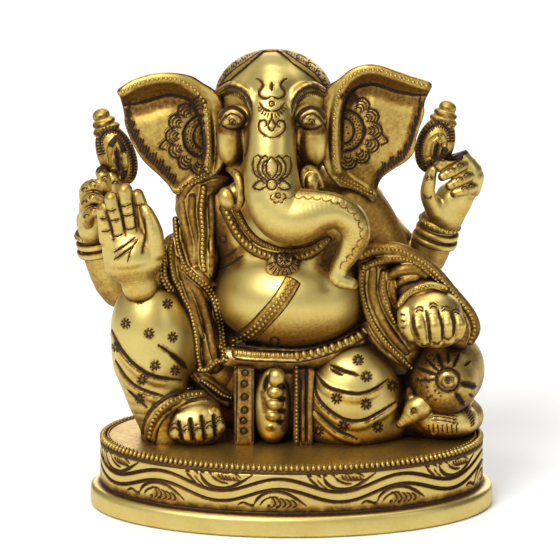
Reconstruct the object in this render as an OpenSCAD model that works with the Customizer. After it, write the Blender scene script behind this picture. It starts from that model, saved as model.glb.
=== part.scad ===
// Seated elephant-headed deity in cast brass, on a hollow oval plinth.
// Millimetres. +Z is up and the figure faces -Y. The origin is the centre of the plinth's foot.
// "right" and "left" are the figure's own, so right parts lie towards -X.
// Each piece is cut to the pieces it is brazed against, so that they meet face to face.

/* [Plinth] */
// Width of the oval foot flange
flange_w = 132; // [126:1:138]
// Depth of the oval foot flange
flange_d = 84; // [80:1:88]
// Height of the foot flange
flange_h = 7; // [6:0.5:8]
// Total height of the plinth
plinth_h = 23; // [22:0.5:24]
// Thickness of the top plate
plate_t = 3; // [2.5:0.5:4]
// Step from the flange in to the frieze wall
drum_step = 3.4; // [3:0.1:4]
// Thickness of the frieze wall
wall = 4; // [3:0.5:5]
// Diameter of the beads round the top plate
bead_d = 2; // [1.6:0.1:2.2]
// Waves of the vine round the frieze
vine_waves = 9; // [6:1:14]

/* [Fixing] */
// Diameter of the screw that holds the figure to the plinth
screw_d = 5; // [4:0.5:6]
// Radial clearance of the screw in the top plate
screw_gap = 0.25; // [0.1:0.05:0.5]

/* [Figure] */
// Thickness of the hollow torso's wall
body_wall = 4.5; // [4:0.5:6]
// Facets round a rounded form
form_fn = 26; // [20:2:32]

/* [Hidden] */

BRASS = "#b8923c";
BRIGHT_BRASS = "#d0ad55";
STEEL = "silver";
FAR = 200;
oval_sides = 96;

drum_w = flange_w - 2 * drum_step;
drum_d = flange_d - 2 * drum_step;
plate_w = drum_w + 0.6;
plate_d = drum_d + 0.6;
plate_z = plinth_h - plate_t;
ledge = bead_d / 2;             // the beads stand on a ledge this far below the plate's top
head_x = -5.8;                  // the head and ears are symmetric about this plane
ear_blade = 3.2;
ear_lean = 9;

// Main forms, each [centre, radii].
BELLY = [[0, 5, 70], [27, 23, 20]];
CHEST = [[-1, 9, 91], [29, 18.5, 20]];
HIPS = [[-1, 13, 40], [33, 18.5, 23]];
CROWN = [[head_x, 3, 129.5], [18.6, 17.5, 20.5]];
CHEEKS = [[head_x, 0, 114], [16.6, 14, 15]];
KNEE = [[-46.5, -4, 57], [12.6, 13, 17.5]];
THIGH = [[22, -3, 38.5], [16.5, 14, 15.5]];
BOLSTER = [[49.5, 4, 42], [14.5, 16, 16]];

// Centrelines, each a list of [point, radius].
TRUNK = [
    [[-6.5, -9, 130], 8], [[-6.8, -13.5, 122], 8.2], [[-7, -17, 112], 8.4], [[-5.5, -20, 103.5], 9],
    [[0.5, -22.5, 100.5], 9.3], [[8, -24, 102.5], 8.6], [[14.5, -24, 104], 7], [[19, -23, 99.5], 5.6],
    [[19.5, -22, 91.5], 4.8], [[16.5, -22.5, 85], 4.6], [[16.5, -24, 80], 4.4], [[18.5, -24.5, 77], 3]
];
REAR_RIGHT_ARM = [
    [[-22, 18, 98], 8], [[-38, 19, 86], 8], [[-51, 18, 72], 7.5], [[-58, 16, 74], 6.6], [[-63, 14, 85], 5.6]
];
REAR_LEFT_ARM = [
    [[12, 18, 98], 8], [[26, 19, 86], 8], [[37, 18, 74], 7.5], [[42, 16, 78], 6.6], [[46.5, 14, 88], 5.6]
];
FRONT_RIGHT_ARM = [
    [[-24, 7, 98], 8], [[-33, 5, 88], 8], [[-41, 2, 78], 7], [[-47, -6, 76], 6], [[-49.5, -11, 80], 5.2]
];
FRONT_LEFT_ARM = [
    [[22, 8, 99], 8], [[29, 7, 89], 8.4], [[35, 5, 79], 8], [[41, -2, 76], 7], [[44, -9, 75], 6.2]
];
REAR_RIGHT_PALM = [[-65, 13, 93], [6.4, 4.6, 7.6]];
REAR_LEFT_PALM = [[50.3, 13, 96], [6.5, 4.7, 7.5]];
FRONT_RIGHT_PALM = [[-51.7, -14.5, 87.5], [8.6, 4.6, 9.5]];
FRONT_LEFT_PALM = [[45.5, -13.5, 68], [10.2, 8, 9.4]];

// Half of the ear's outline, as [distance out from the head's plane, height].
EAR = [
    [18.4, 141], [23.5, 143.5], [30, 144.8], [37, 144.3], [44, 142], [50.3, 137.5], [48.5, 129],
    [46, 122], [42.3, 114], [37, 107.5], [31.8, 103], [26.5, 105], [20.5, 111.5], [18.4, 121.5]
];

function unit(v) = v / max(norm(v), 1e-6);

// A point on the surface of the ellipsoid form, seen from the front at x and z, and lift mm proud.
function on_front(form, x, z, lift) =
    let (
        u = (x - form[0][0]) / form[1][0],
        w = (z - form[0][2]) / form[1][2],
        depth = sqrt(max(0.02, 1 - u * u - w * w))
    )
    [x, form[0][1] - form[1][1] * depth - lift, z];

// A point on an oval of the given width and depth, out at height z.
function on_oval(w, d, angle, z) = [w / 2 * cos(angle), d / 2 * sin(angle), z];

// One closed ring of a sweep: sides points round p, square to the travel, a across and b along ref.
function ring(p, travel, ref, a, b, sides) =
    let (
        side = unit(cross(ref, travel)),
        up = unit(cross(travel, side))
    )
    [for (i = [0:sides - 1]) p + side * a * cos(360 * i / sides) + up * b * sin(360 * i / sides)];

// Sweeps a round or oval section along path. radii is one radius or one for each point of the path,
// and a radius is a number or [across, along ref].
module tube(path, radii, sides = 8, ref = [0, 1, 0.01]) {
    last = len(path) - 1;
    rings = [
        for (i = [0:last])
        let (
            travel = unit(path[min(i + 1, last)] - path[max(i - 1, 0)]),
            r = is_list(radii) && len(radii) == last + 1 ? radii[i] : radii
        )
        ring(path[i], travel, ref, is_list(r) ? r[0] : r, is_list(r) ? r[1] : r, sides)
    ];
    polyhedron(
        points = [for (one = rings) each one],
        faces = concat(
            [[for (i = [0:sides - 1]) i]],
            [[for (i = [sides - 1:-1:0]) last * sides + i]],
            [
                for (k = [0:last - 1], i = [0:sides - 1])
                [k * sides + i, (k + 1) * sides + i, (k + 1) * sides + (i + 1) % sides, k * sides + (i + 1) % sides]
            ]
        ),
        convexity = 8
    );
}

// Two narrowing rings past the end p of a limb, for a rounded tip of radius r along out.
function tip(p, r, out) = [[p + out * r * 0.65, r * 0.76], [p + out * r * 0.95, r * 0.3]];

// A limb from a list of [point, radius], with rounded ends.
module limb(line, sides = 12) {
    last = len(line) - 1;
    start = tip(line[0][0], line[0][1], unit(line[0][0] - line[1][0]));
    end = tip(line[last][0], line[last][1], unit(line[last][0] - line[last - 1][0]));
    whole = concat([start[1], start[0]], line, end);
    tube([for (s = whole) s[0]], [for (s = whole) s[1]], sides);
}

// One rounded form from [centre, radii], grown by extra.
module form(f, extra = 0, turn = [0, 0, 0], fn = form_fn) {
    translate(f[0]) rotate(turn) scale([for (r = f[1]) r + extra]) sphere(r = 1, $fn = fn);
}

// Evaluates its children as one mesh, which keeps cuts between many-faced forms quick and sound.
module as_mesh() {
    resize([0, 0, 0]) children();
}

// Keeps what stands above the plinth.
module above_plinth() {
    intersection() {
        children();
        translate([-FAR / 2, -FAR / 2, plinth_h]) cube([FAR, FAR, FAR]);
    }
}

module oval(w, d, h, z = 0) {
    translate([0, 0, z]) linear_extrude(height = h) polygon([
        for (i = [0:oval_sides - 1]) [w / 2 * cos(360 * i / oval_sides), d / 2 * sin(360 * i / oval_sides)]
    ]);
}

// ---------------------------------------------------------------- plinth

module plinth_flange() {
    color(BRASS) difference() {
        oval(flange_w, flange_d, flange_h);
        oval(drum_w - 2 * wall, drum_d - 2 * wall, flange_h + 2, -1);
    }
}

module plinth_drum() {
    color(BRASS) difference() {
        oval(drum_w, drum_d, plate_z - flange_h, flange_h);
        oval(drum_w - 2 * wall, drum_d - 2 * wall, plate_z, flange_h - 1);
    }
}

// A wavy stem round the wall, half of it standing proud.
module plinth_vine_frieze() {
    middle = (flange_h + plate_z) / 2;
    swing = (plate_z - flange_h) * 0.27;
    stem = 1.1;
    steps = vine_waves * 12;
    path = [
        for (i = [0:steps])
        on_oval(
            drum_w + 2 * stem, drum_d + 2 * stem, 360 * (i % steps) / steps,
            middle + swing * sin(360 * vine_waves * i / steps)
        )
    ];
    // Two half turns, so that each sweep has open ends.
    half = steps / 2;
    color(BRIGHT_BRASS) for (start = [0, half]) tube([for (i = [start:start + half]) path[i]], stem, 6, [0, 0, 1]);
}

module plinth_top_plate() {
    color(BRASS) difference() {
        oval(plate_w, plate_d, plate_t, plate_z);
        difference() {
            oval(flange_w, flange_d, plate_t, plinth_h - ledge);
            oval(plate_w - 2 * bead_d, plate_d - 2 * bead_d, plate_t, plinth_h - ledge);
        }
        translate([0, 8, 0]) cylinder(d = screw_d + 2 * screw_gap, h = FAR, $fn = 48);
    }
}

module plinth_bead_rim() {
    w = plate_w - bead_d;
    d = plate_d - bead_d;
    // The way round the oval at each degree, so that the beads stand evenly along it.
    way = [
        for (i = 0, s = 0; i <= 360; s = s + norm(on_oval(w, d, i + 1, 0) - on_oval(w, d, i, 0)), i = i + 1) [s, i]
    ];
    beads = floor(way[360][0] / (bead_d * 1.14));
    color(BRIGHT_BRASS) for (i = [0:beads - 1])
        translate(on_oval(w, d, lookup(way[360][0] * i / beads, way), plinth_h - ledge + bead_d / 2))
            sphere(d = bead_d, $fn = 24);
}

// ---------------------------------------------------------------- fixing, under the top plate

module fixing_washer() {
    color(STEEL) translate([0, 8, plate_z - 1]) difference() {
        cylinder(d = screw_d * 2.4, h = 1, $fn = 48);
        translate([0, 0, -1]) cylinder(d = screw_d + 2 * screw_gap, h = 3, $fn = 48);
    }
}

module fixing_screw() {
    head_h = screw_d * 0.6;
    shank = plate_t + 1 + 8;
    color(STEEL) translate([0, 8, plate_z - 1 - head_h]) difference() {
        union() {
            cylinder(d = screw_d * 1.8, h = head_h, $fn = 48);
            cylinder(d = screw_d, h = head_h + shank, $fn = 48);
        }
        translate([-screw_d, -0.5, -1]) cube([2 * screw_d, 1, 2]);
    }
}

// ---------------------------------------------------------------- body

module torso_form() {
    above_plinth() union() {
        form(BELLY);
        form(CHEST);
        form(HIPS);
    }
}

// Hollow from below, with a boss that takes the fixing screw.
module torso() {
    color(BRASS) as_mesh() difference() {
        torso_form();
        difference() {
            union() {
                form(BELLY, -body_wall, fn = 14);
                form(CHEST, -body_wall, fn = 14);
                form(HIPS, -body_wall, fn = 14);
            }
            translate([0, 8, 0]) cylinder(d = screw_d * 2.6, h = plinth_h + 12, $fn = 16);
        }
        translate([0, 8, 0]) cylinder(d = screw_d + 0.1, h = plinth_h + 9, $fn = 16);
    }
}

// The cloth that hangs down the back from the shoulders.
module back_shawl() {
    sheet = [[-1, 13, 84], [31.5, 18.5, 30]];
    color(BRASS) as_mesh() difference() {
        above_plinth() intersection() {
            form(sheet);
            translate([-30, 14, 0]) cube([60, FAR, 108]);
        }
        torso_form();
        limb(REAR_RIGHT_ARM, 10);
        limb(REAR_LEFT_ARM, 10);
        head_form();
    }
}

module head_form() {
    form(CROWN);
    form(CHEEKS);
}

module head() {
    color(BRIGHT_BRASS) as_mesh() difference() {
        head_form();
        torso_form();
    }
}

// Two panels of dressed hair that leave a pointed arch of forehead between them.
module hair_cap() {
    shell = 1;
    color(BRASS) as_mesh() difference() {
        form(CROWN, shell);
        form(CROWN);
        form(CHEEKS);
        hull() {
            translate([head_x, -30, 105]) cube([44, 40, 1], center = true);
            translate([head_x, -30, 132]) cube([44, 50, 1], center = true);
            translate([head_x, -12, 151]) cube([2, 40, 1], center = true);
        }
        translate([-FAR / 2, -FAR / 2, 0]) cube([FAR, FAR, 112]);
        torso_form();
    }
}

module eyes() {
    color(BRIGHT_BRASS) as_mesh() difference() {
        for (side = [-1, 1])
            translate([head_x + side * 13.4, -11.5, 131.5]) scale([3.4, 2.2, 2.4]) sphere(r = 1, $fn = 14);
        head_form();
    }
}

module trunk() {
    color(BRIGHT_BRASS) as_mesh() difference() {
        limb(TRUNK, 14);
        head_form();
        torso_form();
    }
}

module tusk(line) {
    color(BRIGHT_BRASS) as_mesh() difference() {
        limb(line, 10);
        head_form();
        limb(TRUNK, 14);
        torso_form();
    }
}

module right_tusk() {
    tusk([[[-14, -11, 110], 4.2], [[-18.5, -15, 108.5], 3.8], [[-22, -17.5, 107.5], 2]]);
}

// The broken one, cut short.
module left_tusk() {
    tusk([[[6, -10, 114], 3.4], [[7.5, -15.5, 112.5], 3], [[8, -18, 112], 2.6]]);
}

// One ear's blade, on the +X side of the head's plane.
module ear_form() {
    rotate([0, 0, ear_lean]) translate([0, ear_blade, 0]) rotate([90, 0, 0])
        linear_extrude(height = ear_blade) polygon(EAR);
}

module ear_place(side) {
    translate([head_x, 2, 0]) mirror([side < 0 ? 1 : 0, 0, 0]) children();
}

module ear(side) {
    color(BRASS) as_mesh() difference() {
        ear_place(side) ear_form();
        head_form();
        torso_form();
    }
}

// A raised border round the front of the ear.
module ear_border(side) {
    proud = 1.6;
    rim = 2.8;
    color(BRIGHT_BRASS) as_mesh() difference() {
        ear_place(side) rotate([0, 0, ear_lean]) rotate([90, 0, 0]) linear_extrude(height = proud) difference() {
            polygon(EAR);
            offset(delta = -rim) polygon(EAR);
        }
        head_form();
        torso_form();
        limb(TRUNK, 14);
        front_arms_form();
    }
}

module right_ear() ear(-1);
module left_ear() ear(1);
module right_ear_border() ear_border(-1);
module left_ear_border() ear_border(1);

// ---------------------------------------------------------------- legs and dress

module right_leg_form() {
    above_plinth() union() {
        form(KNEE);
        limb([
            [[-47, -4, 47], 11], [[-44.5, -5, 36], 9.5], [[-39, -6, 27], 9]
        ]);
        limb([[[-44, 0, 60], 12], [[-32, 6, 50], 13], [[-20, 9, 42], 14]]);
    }
}

module left_leg_form() {
    above_plinth() union() {
        form(THIGH);
        limb([[[6, 6, 42], 15], [[18, 0, 39], 15], [[27, -2, 38], 10]]);
    }
}

module right_leg() {
    color(BRIGHT_BRASS) as_mesh() difference() {
        right_leg_form();
        torso_form();
        limb(FRONT_RIGHT_ARM, 10);
    }
}

module left_leg() {
    color(BRIGHT_BRASS) as_mesh() difference() {
        left_leg_form();
        torso_form();
    }
}

module right_foot_form() {
    above_plinth() union() {
        form([[-32, -13, 28.5], [9.2, 8.5, 6.4]], fn = 20);
        for (toe = [0:4]) form([[-39.4 + toe * 3.5, -19.5, 25.6], [1.8, 2.6, 2.4]], fn = 8);
    }
}

module right_foot() {
    color(BRIGHT_BRASS) as_mesh() difference() {
        right_foot_form();
        right_leg_form();
        torso_form();
    }
}

// The beaded hem that arches over the right foot.
module right_leg_hem() {
    path = [for (a = [195:-15:0]) [-31 + 12.2 * cos(a), -13 + 1.5 * cos(a), 26 + 11 * sin(a)]];
    color(BRASS) as_mesh() difference() {
        above_plinth() tube(path, [1.8, 2.2], 8);
        right_leg_form();
        right_foot_form();
        torso_form();
        dhoti_forms();
    }
}

module left_foot_form() {
    form([[-6, -16, 37.5], [5.2, 5, 13]], fn = 18);
    for (toe = [0:4]) form([[-5.4 - toe * 0.4, -20.4, 46 - toe * 4.3], [toe == 0 ? 3.1 : 2.3, 2.6, toe == 0 ? 3.4 : 2.1]], fn = 8);
}

module left_foot() {
    color(BRIGHT_BRASS) as_mesh() difference() {
        above_plinth() left_foot_form();
        torso_form();
        left_leg_form();
    }
}

module dhoti_forms() {
    translate([-18.6, -16, plinth_h]) cube([6.4, 10, 27]);
    translate([0.8, -16, plinth_h]) cube([6.2, 10, 27]);
}

// A flat fall of cloth with a column of ring studs.
module dhoti_ring_panel() {
    color(BRASS) as_mesh() difference() {
        union() {
            translate([-18.6, -16, plinth_h]) cube([6.4, 10, 27]);
            for (row = [0:5]) translate([-15.4, -16, plinth_h + 3 + row * 4.2]) rotate([90, 0, 0]) difference() {
                cylinder(r = 1.2, h = 0.6, $fn = 12);
                translate([0, 0, -1]) cylinder(r = 0.5, h = 3, $fn = 8);
            }
        }
        torso_form();
        left_foot_form();
        right_foot_form();
    }
}

// Narrow upright pleats beside the left leg.
module dhoti_pleats() {
    color(BRASS) as_mesh() difference() {
        for (fold = [0:2]) translate([0.8 + fold * 2.1, -16 + fold * 0.3, plinth_h]) cube([2, 10, 27]);
        torso_form();
        left_foot_form();
        left_leg_form();
    }
}

module waist_belt() {
    path = [for (x = [-20:4:28]) on_front(BELLY, x, 55.5 + 0.012 * (x - 2) * (x - 2), 0.8)];
    color(BRIGHT_BRASS) as_mesh() difference() {
        tube(path, [2, 1.6], 8, [0, 0, 1]);
        torso_form();
        left_leg_form();
        right_leg_form();
    }
}

// ---------------------------------------------------------------- ornaments and scarves

// Arc of the necklace as it lies on the chest and belly.
function neck_point(a) =
    let (
        x = -3 + 18 * sin(a),
        z = 101 - 16 * cos(a),
        chest = on_front(CHEST, x, z, 1.2),
        belly = on_front(BELLY, x, z, 1.2)
    )
    chest[1] < belly[1] ? chest : belly;

module necklace() {
    path = [for (a = [-85:10:75]) neck_point(a)];
    color(BRIGHT_BRASS) as_mesh() difference() {
        tube(path, [2.6, 1.8], 8, [0, 1, 0.01]);
        torso_form();
        head_form();
        limb(TRUNK, 14);
        pendant_form();
    }
}

module pendant_form() {
    at = on_front(BELLY, -2.5, 83.5, 0);
    translate(at + [0, 2.2, 0]) rotate([90, 0, 0]) cylinder(r = 5, h = 4.4, $fn = 20);
    translate(at + [0, 0, 1.6]) rotate([90, 0, 0]) cylinder(r = 2.8, h = 3.4, $fn = 16);
}

module necklace_pendant() {
    color(BRIGHT_BRASS) as_mesh() difference() {
        pendant_form();
        torso_form();
        limb(TRUNK, 14);
    }
}

module sacred_thread() {
    path = [for (t = [0:0.1:1]) on_front(BELLY, -1 - 18.5 * t, 80 - 20.5 * t + 2.2 * sin(180 * t), 0.5)];
    color(BRIGHT_BRASS) as_mesh() difference() {
        tube(path, [2.3, 1.1], 8);
        torso_form();
        pendant_form();
    }
}

// Pleats that fall from the right shoulder to a point over the lap.
RIGHT_SCARF = [
    [[-31, -1, 107], [4.2, 4]], [[-31, -6, 98], [5.6, 4]], [[-30.5, -9, 89], [6.2, 4]], [[-29.5, -13, 80], [5.4, 4]],
    [[-26.5, -16.5, 70], [5.2, 3.6]], [[-23.5, -17, 60], [4.6, 3.4]], [[-21.8, -16, 50], [4, 3]], [[-20.8, -16, 41], [2.2, 2.6]]
];

module right_scarf_form() {
    tube([for (s = RIGHT_SCARF) s[0]], [for (s = RIGHT_SCARF) s[1]], 12);
}

module right_scarf() {
    color(BRASS) as_mesh() difference() {
        right_scarf_form();
        torso_form();
        right_leg_form();
        ear_place(-1) ear_form();
        limb(FRONT_RIGHT_ARM, 12);
        translate([-18.6, -16, plinth_h]) cube([6.4, 10, 27]);
    }
}

// A beaded roll of cloth that runs from the chest over the forearm and down behind the hand.
LEFT_SCARF = [
    [[22, -14, 60], [3, 3]], [[24, -14, 70], [3.4, 3.4]], [[26, -11, 80], [4, 3.6]], [[32, -8, 87.5], [4, 3.6]],
    [[41, -7, 86], [3.6, 3.6]], [[49, -7, 80.5], [3.4, 3.6]], [[55, -6, 72], [3.2, 3.4]], [[58.5, -5, 63], [3, 3.2]],
    [[57, -4, 57], [2.2, 2.6]]
];

module left_scarf_form() {
    tube([for (s = LEFT_SCARF) s[0]], [for (s = LEFT_SCARF) s[1]], 12);
}

module left_scarf() {
    color(BRASS) as_mesh() difference() {
        left_scarf_form();
        torso_form();
        left_leg_form();
        front_arms_form();
        front_left_hand_form();
        form(BOLSTER);
    }
}

// ---------------------------------------------------------------- arms

module front_arms_form() {
    limb(FRONT_RIGHT_ARM, 12);
    limb(FRONT_LEFT_ARM, 12);
}

module arm(line) {
    color(BRIGHT_BRASS) as_mesh() difference() {
        limb(line, 12);
        torso_form();
        children();
    }
}

module rear_right_arm() {
    arm(REAR_RIGHT_ARM) {
        front_arms_form();
        ear_place(-1) ear_form();
        head_form();
    }
}

module rear_left_arm() {
    arm(REAR_LEFT_ARM) {
        front_arms_form();
        ear_place(1) ear_form();
        head_form();
    }
}

module front_right_arm() {
    arm(FRONT_RIGHT_ARM) {
        ear_place(-1) ear_form();
        head_form();
    }
}

module front_left_arm() {
    arm(FRONT_LEFT_ARM) {
        ear_place(1) ear_form();
        head_form();
        form(BOLSTER);
    }
}

module finger(line, fat) {
    limb([for (i = [0:len(line) - 1]) [line[i], fat * (1 - 0.06 * i)]], 8);
}

// A hand closed round a stem, on the side given.
module rear_hand_form(palm, side) {
    form(palm, fn = 14);
    for (f = [0:3]) translate(palm[0]) finger([
        [side * (-2 + f * 2.6), -2, 6 - f * 2.3],
        [side * (-1.4 + f * 2.8), -6, 8.4 - f * 2.6],
        [side * (-3.4 + f * 2.6), -7, 5.6 - f * 2.4]
    ], 1.9);
    translate(palm[0]) finger([[side * -4, -2, -2], [side * -7, -4, 3], [side * -6.4, -5, 8]], 2.1);
}

module rear_right_hand() {
    color(BRIGHT_BRASS) as_mesh() difference() {
        rear_hand_form(REAR_RIGHT_PALM, -1);
        limb(REAR_RIGHT_ARM, 12);
    }
}

module rear_left_hand() {
    color(BRIGHT_BRASS) as_mesh() difference() {
        rear_hand_form(REAR_LEFT_PALM, 1);
        limb(REAR_LEFT_ARM, 12);
    }
}

// Two turned bands round a wrist.
module bangles(line) {
    wrist = line[len(line) - 1];
    before = line[len(line) - 2];
    travel = unit(wrist[0] - before[0]);
    color(BRASS) as_mesh() difference() {
        for (step = [0.5, 5]) tube([wrist[0] - travel * (step + 3), wrist[0] - travel * step], wrist[1] + 1.5, 14);
        limb(line, 12);
    }
}

module rear_right_bangles() bangles(REAR_RIGHT_ARM);
module rear_left_bangles() bangles(REAR_LEFT_ARM);

// A lotus bud with a stepped finial, leaning out by lean degrees.
module bud(at, lean) {
    color(BRASS) as_mesh() difference() {
        translate(at) rotate([0, lean, 0]) union() {
            form([[0, 0, -1], [5.8, 3.8, 10]], fn = 18);
            tube([[0, 0, 7], [0, 0, 9], [0, 0, 11], [0, 0, 13.5], [0, 0, 15.5]], [3.4, 3.6, 2.8, 2.2, 0.8], 12);
            tube([[0, 0, -14], [0, 0, -8]], [1.4, 2.4], 8);
        }
        children();
    }
}

module right_bud() {
    bud([-56.5, 12, 114.5], -16) {
        rear_hand_form(REAR_RIGHT_PALM, -1);
        ear_place(-1) ear_form();
    }
}

module left_bud() {
    bud([46.5, 12, 117], 13) {
        rear_hand_form(REAR_LEFT_PALM, 1);
        ear_place(1) ear_form();
    }
}

// The open palm raised in blessing.
module front_right_hand_form() {
    form(FRONT_RIGHT_PALM, fn = 18);
    finger([[-57.5, -15, 92], [-59.6, -16, 97], [-60.6, -16, 101.5]], 2.5);
    finger([[-55, -15.5, 94], [-57, -16.5, 101], [-58.2, -16.5, 106]], 2.7);
    finger([[-51.5, -15.5, 95], [-52.6, -16.5, 103], [-53, -16.5, 108.6]], 2.8);
    finger([[-48, -14.5, 94], [-48.6, -14.5, 101], [-49.4, -13.5, 106.5]], 2.6);
    finger([[-46, -13, 86], [-44.6, -13.5, 93], [-46, -14, 99.5]], 2.7);
}

module front_right_hand() {
    color(BRIGHT_BRASS) as_mesh() difference() {
        front_right_hand_form();
        limb(FRONT_RIGHT_ARM, 12);
        right_leg_form();
    }
}

// The hand that lies closed over the bolster.
module front_left_hand_form() {
    form(FRONT_LEFT_PALM, fn = 18);
    for (f = [0:3]) finger([
        [41.2 + f * 3.9, -19, 71.5 - abs(f - 1.2)],
        [41.2 + f * 3.9, -21.2, 65.5],
        [41.6 + f * 3.6, -20, 60 + 0.4 * f]
    ], 2.3);
    finger([[36.6, -14, 68], [36.2, -17.5, 64], [38.2, -19, 60.5]], 2.3);
}

module front_left_hand() {
    color(BRIGHT_BRASS) as_mesh() difference() {
        front_left_hand_form();
        limb(FRONT_LEFT_ARM, 12);
        form(BOLSTER);
        left_leg_form();
    }
}

module front_left_bracelet() {
    at = FRONT_LEFT_PALM[0] + [-1.5, 2, 8.4];
    path = [for (a = [0:20:180]) at + [9.5 * cos(a), -3 + 2.5 * sin(a), 2.2 * sin(a)]];
    color(BRASS) as_mesh() difference() {
        tube(path, 2, 8, [0, 1, 0.3]);
        front_left_hand_form();
        front_arms_form();
        left_scarf_form();
        form(BOLSTER);
    }
}

// ---------------------------------------------------------------- bolster and mouse

module cushion_hub_form() {
    translate([51, -9, 46]) rotate([90, 0, 0]) {
        cylinder(r = 3.6, h = 5, $fn = 18);
        cylinder(r = 1.8, h = 6.2, $fn = 14);
    }
}

module cushion() {
    color(BRASS) as_mesh() difference() {
        above_plinth() union() {
            form(BOLSTER);
            form([[49, 2, 30], [16, 14, 10]], fn = 20);
        }
        left_leg_form();
        torso_form();
        cushion_hub_form();
        mouse_form();
    }
}

module cushion_hub() {
    color(BRIGHT_BRASS) cushion_hub_form();
}

module mouse_form() {
    form([[51, -12, 29], [11, 6, 6.5]], fn = 18);
    form([[40.5, -16, 34.5], [5.6, 4, 4.4]], turn = [0, -38, 0], fn = 16);
    limb([[[38.5, -17, 33], 3], [[35, -18, 29.8], 1.2]], 8);
    form([[43.5, -15, 38.6], [2.4, 1.6, 2.8]], fn = 10);
    form([[38.6, -14.5, 39], [1.4, 1.4, 2.6]], fn = 8);
}

module mouse() {
    color(BRASS) as_mesh() difference() {
        above_plinth() mouse_form();
        left_leg_form();
    }
}

plinth_flange();
plinth_drum();
plinth_vine_frieze();
plinth_top_plate();
plinth_bead_rim();
fixing_screw();
fixing_washer();
torso();
back_shawl();
head();
hair_cap();
eyes();
trunk();
right_tusk();
left_tusk();
right_ear();
left_ear();
right_ear_border();
left_ear_border();
right_leg();
right_foot();
right_leg_hem();
left_leg();
left_foot();
dhoti_ring_panel();
dhoti_pleats();
waist_belt();
necklace();
necklace_pendant();
sacred_thread();
right_scarf();
left_scarf();
rear_right_arm();
rear_right_hand();
rear_right_bangles();
right_bud();
rear_left_arm();
rear_left_hand();
rear_left_bangles();
left_bud();
front_right_arm();
front_right_hand();
front_left_arm();
front_left_hand();
front_left_bracelet();
cushion();
cushion_hub();
mouse();
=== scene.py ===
"""The finished surfaces of a cast brass statue: a seated elephant-headed deity on an oval plinth.

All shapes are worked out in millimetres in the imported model's frame: +X is the viewer's right,
+Y leads away from the viewer and +Z is up. Chasing is drawn as marks (s, t) in millimetres on an
upright picture that faces a viewer who looks down at TILT, and falls on whatever lies behind it.
"""
import math

import bpy
import numpy as np
import openvdb
from mathutils import Euler, Matrix, Vector


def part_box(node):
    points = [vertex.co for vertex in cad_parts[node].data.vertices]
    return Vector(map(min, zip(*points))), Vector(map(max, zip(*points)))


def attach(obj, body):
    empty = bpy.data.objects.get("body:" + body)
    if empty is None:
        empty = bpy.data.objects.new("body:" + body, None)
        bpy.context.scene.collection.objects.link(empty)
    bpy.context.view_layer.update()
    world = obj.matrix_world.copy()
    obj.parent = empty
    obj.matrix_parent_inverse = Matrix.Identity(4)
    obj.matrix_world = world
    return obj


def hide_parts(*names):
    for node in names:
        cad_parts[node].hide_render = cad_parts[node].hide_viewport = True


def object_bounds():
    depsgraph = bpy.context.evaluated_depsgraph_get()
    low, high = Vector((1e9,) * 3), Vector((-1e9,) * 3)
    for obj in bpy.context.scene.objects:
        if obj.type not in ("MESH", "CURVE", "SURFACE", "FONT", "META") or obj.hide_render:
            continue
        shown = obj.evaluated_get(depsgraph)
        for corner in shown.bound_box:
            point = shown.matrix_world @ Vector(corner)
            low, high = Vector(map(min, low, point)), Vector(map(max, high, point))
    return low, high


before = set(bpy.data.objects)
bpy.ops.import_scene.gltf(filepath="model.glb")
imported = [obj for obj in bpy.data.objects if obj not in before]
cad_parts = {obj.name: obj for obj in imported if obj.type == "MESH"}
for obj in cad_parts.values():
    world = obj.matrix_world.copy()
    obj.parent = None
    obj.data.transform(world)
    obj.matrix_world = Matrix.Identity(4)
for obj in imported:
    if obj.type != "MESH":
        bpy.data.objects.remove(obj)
CAD_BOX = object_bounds()

MM = 0.001
F32 = np.float32
TILT = math.radians(15.5)
RIGHT = np.array([1, 0, 0], F32)
UP = np.array([0, math.sin(TILT), math.cos(TILT)], F32)
AWAY = np.array([0, math.cos(TILT), -math.sin(TILT)], F32)

BLOCK = 6            # voxels along a block's edge where a form is sampled
STAND_OFF = 75       # mm from the middle at which a line of sight starts
STRIDES = 80         # steps along a line of sight
BATCH = 1500         # blocks sampled at a time
REACH = 6.0          # mm beyond which a limb counts as far away
PLAIN = 0.46         # mm between samples on plain forms
POLISHED = "polished_brass"
ANTIQUED = "antiqued_brass"
ZINC = "zinc_steel"
SEAT = 22.6          # height at which the figure is cut, just inside the top plate
FACE_S = -6.4        # the picture's s of the middle of the face


def box_mm(node):
    """The low and the high corner of a node's box, in mm."""
    low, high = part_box(node)
    return np.array(low) / MM, np.array(high) / MM


# ---------------------------------------------------------------- distance forms

def ball(centre, radii, turn=(0, 0, 0)):
    """An ellipsoid, turned by degrees about X, Y and Z."""
    c = np.array(centre, F32)
    r = np.array(radii, F32)
    m = np.array(Euler([math.radians(a) for a in turn]).to_matrix(), F32)

    def distance(p):
        q = (p - c) @ m
        a = np.linalg.norm(q / r, axis=1)
        b = np.linalg.norm(q / (r * r), axis=1)
        return np.where(b < 1e-5, -r.min(), a * (a - 1) / np.maximum(b, 1e-5))

    return distance


def curve(points, steps=5):
    """A smooth line through points, with steps to each stretch."""
    p = np.array(points, F32)
    if len(p) < 3:
        t = np.linspace(0, 1, steps + 1)[:, None]
        return (p[0] + (p[1] - p[0]) * t).astype(F32)
    q = np.vstack([2 * p[0] - p[1], p, 2 * p[-1] - p[-2]])
    t = (np.arange(steps) / steps)[:, None]
    out = [
        0.5 * (2 * b + (c - a) * t + (2 * a - 5 * b + 4 * c - d) * t**2 + (3 * b - a - 3 * c + d) * t**3)
        for a, b, c, d in zip(q[:-3], q[1:-2], q[2:-1], q[3:])
    ]
    return np.vstack(out + [p[-1:]]).astype(F32)


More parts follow.
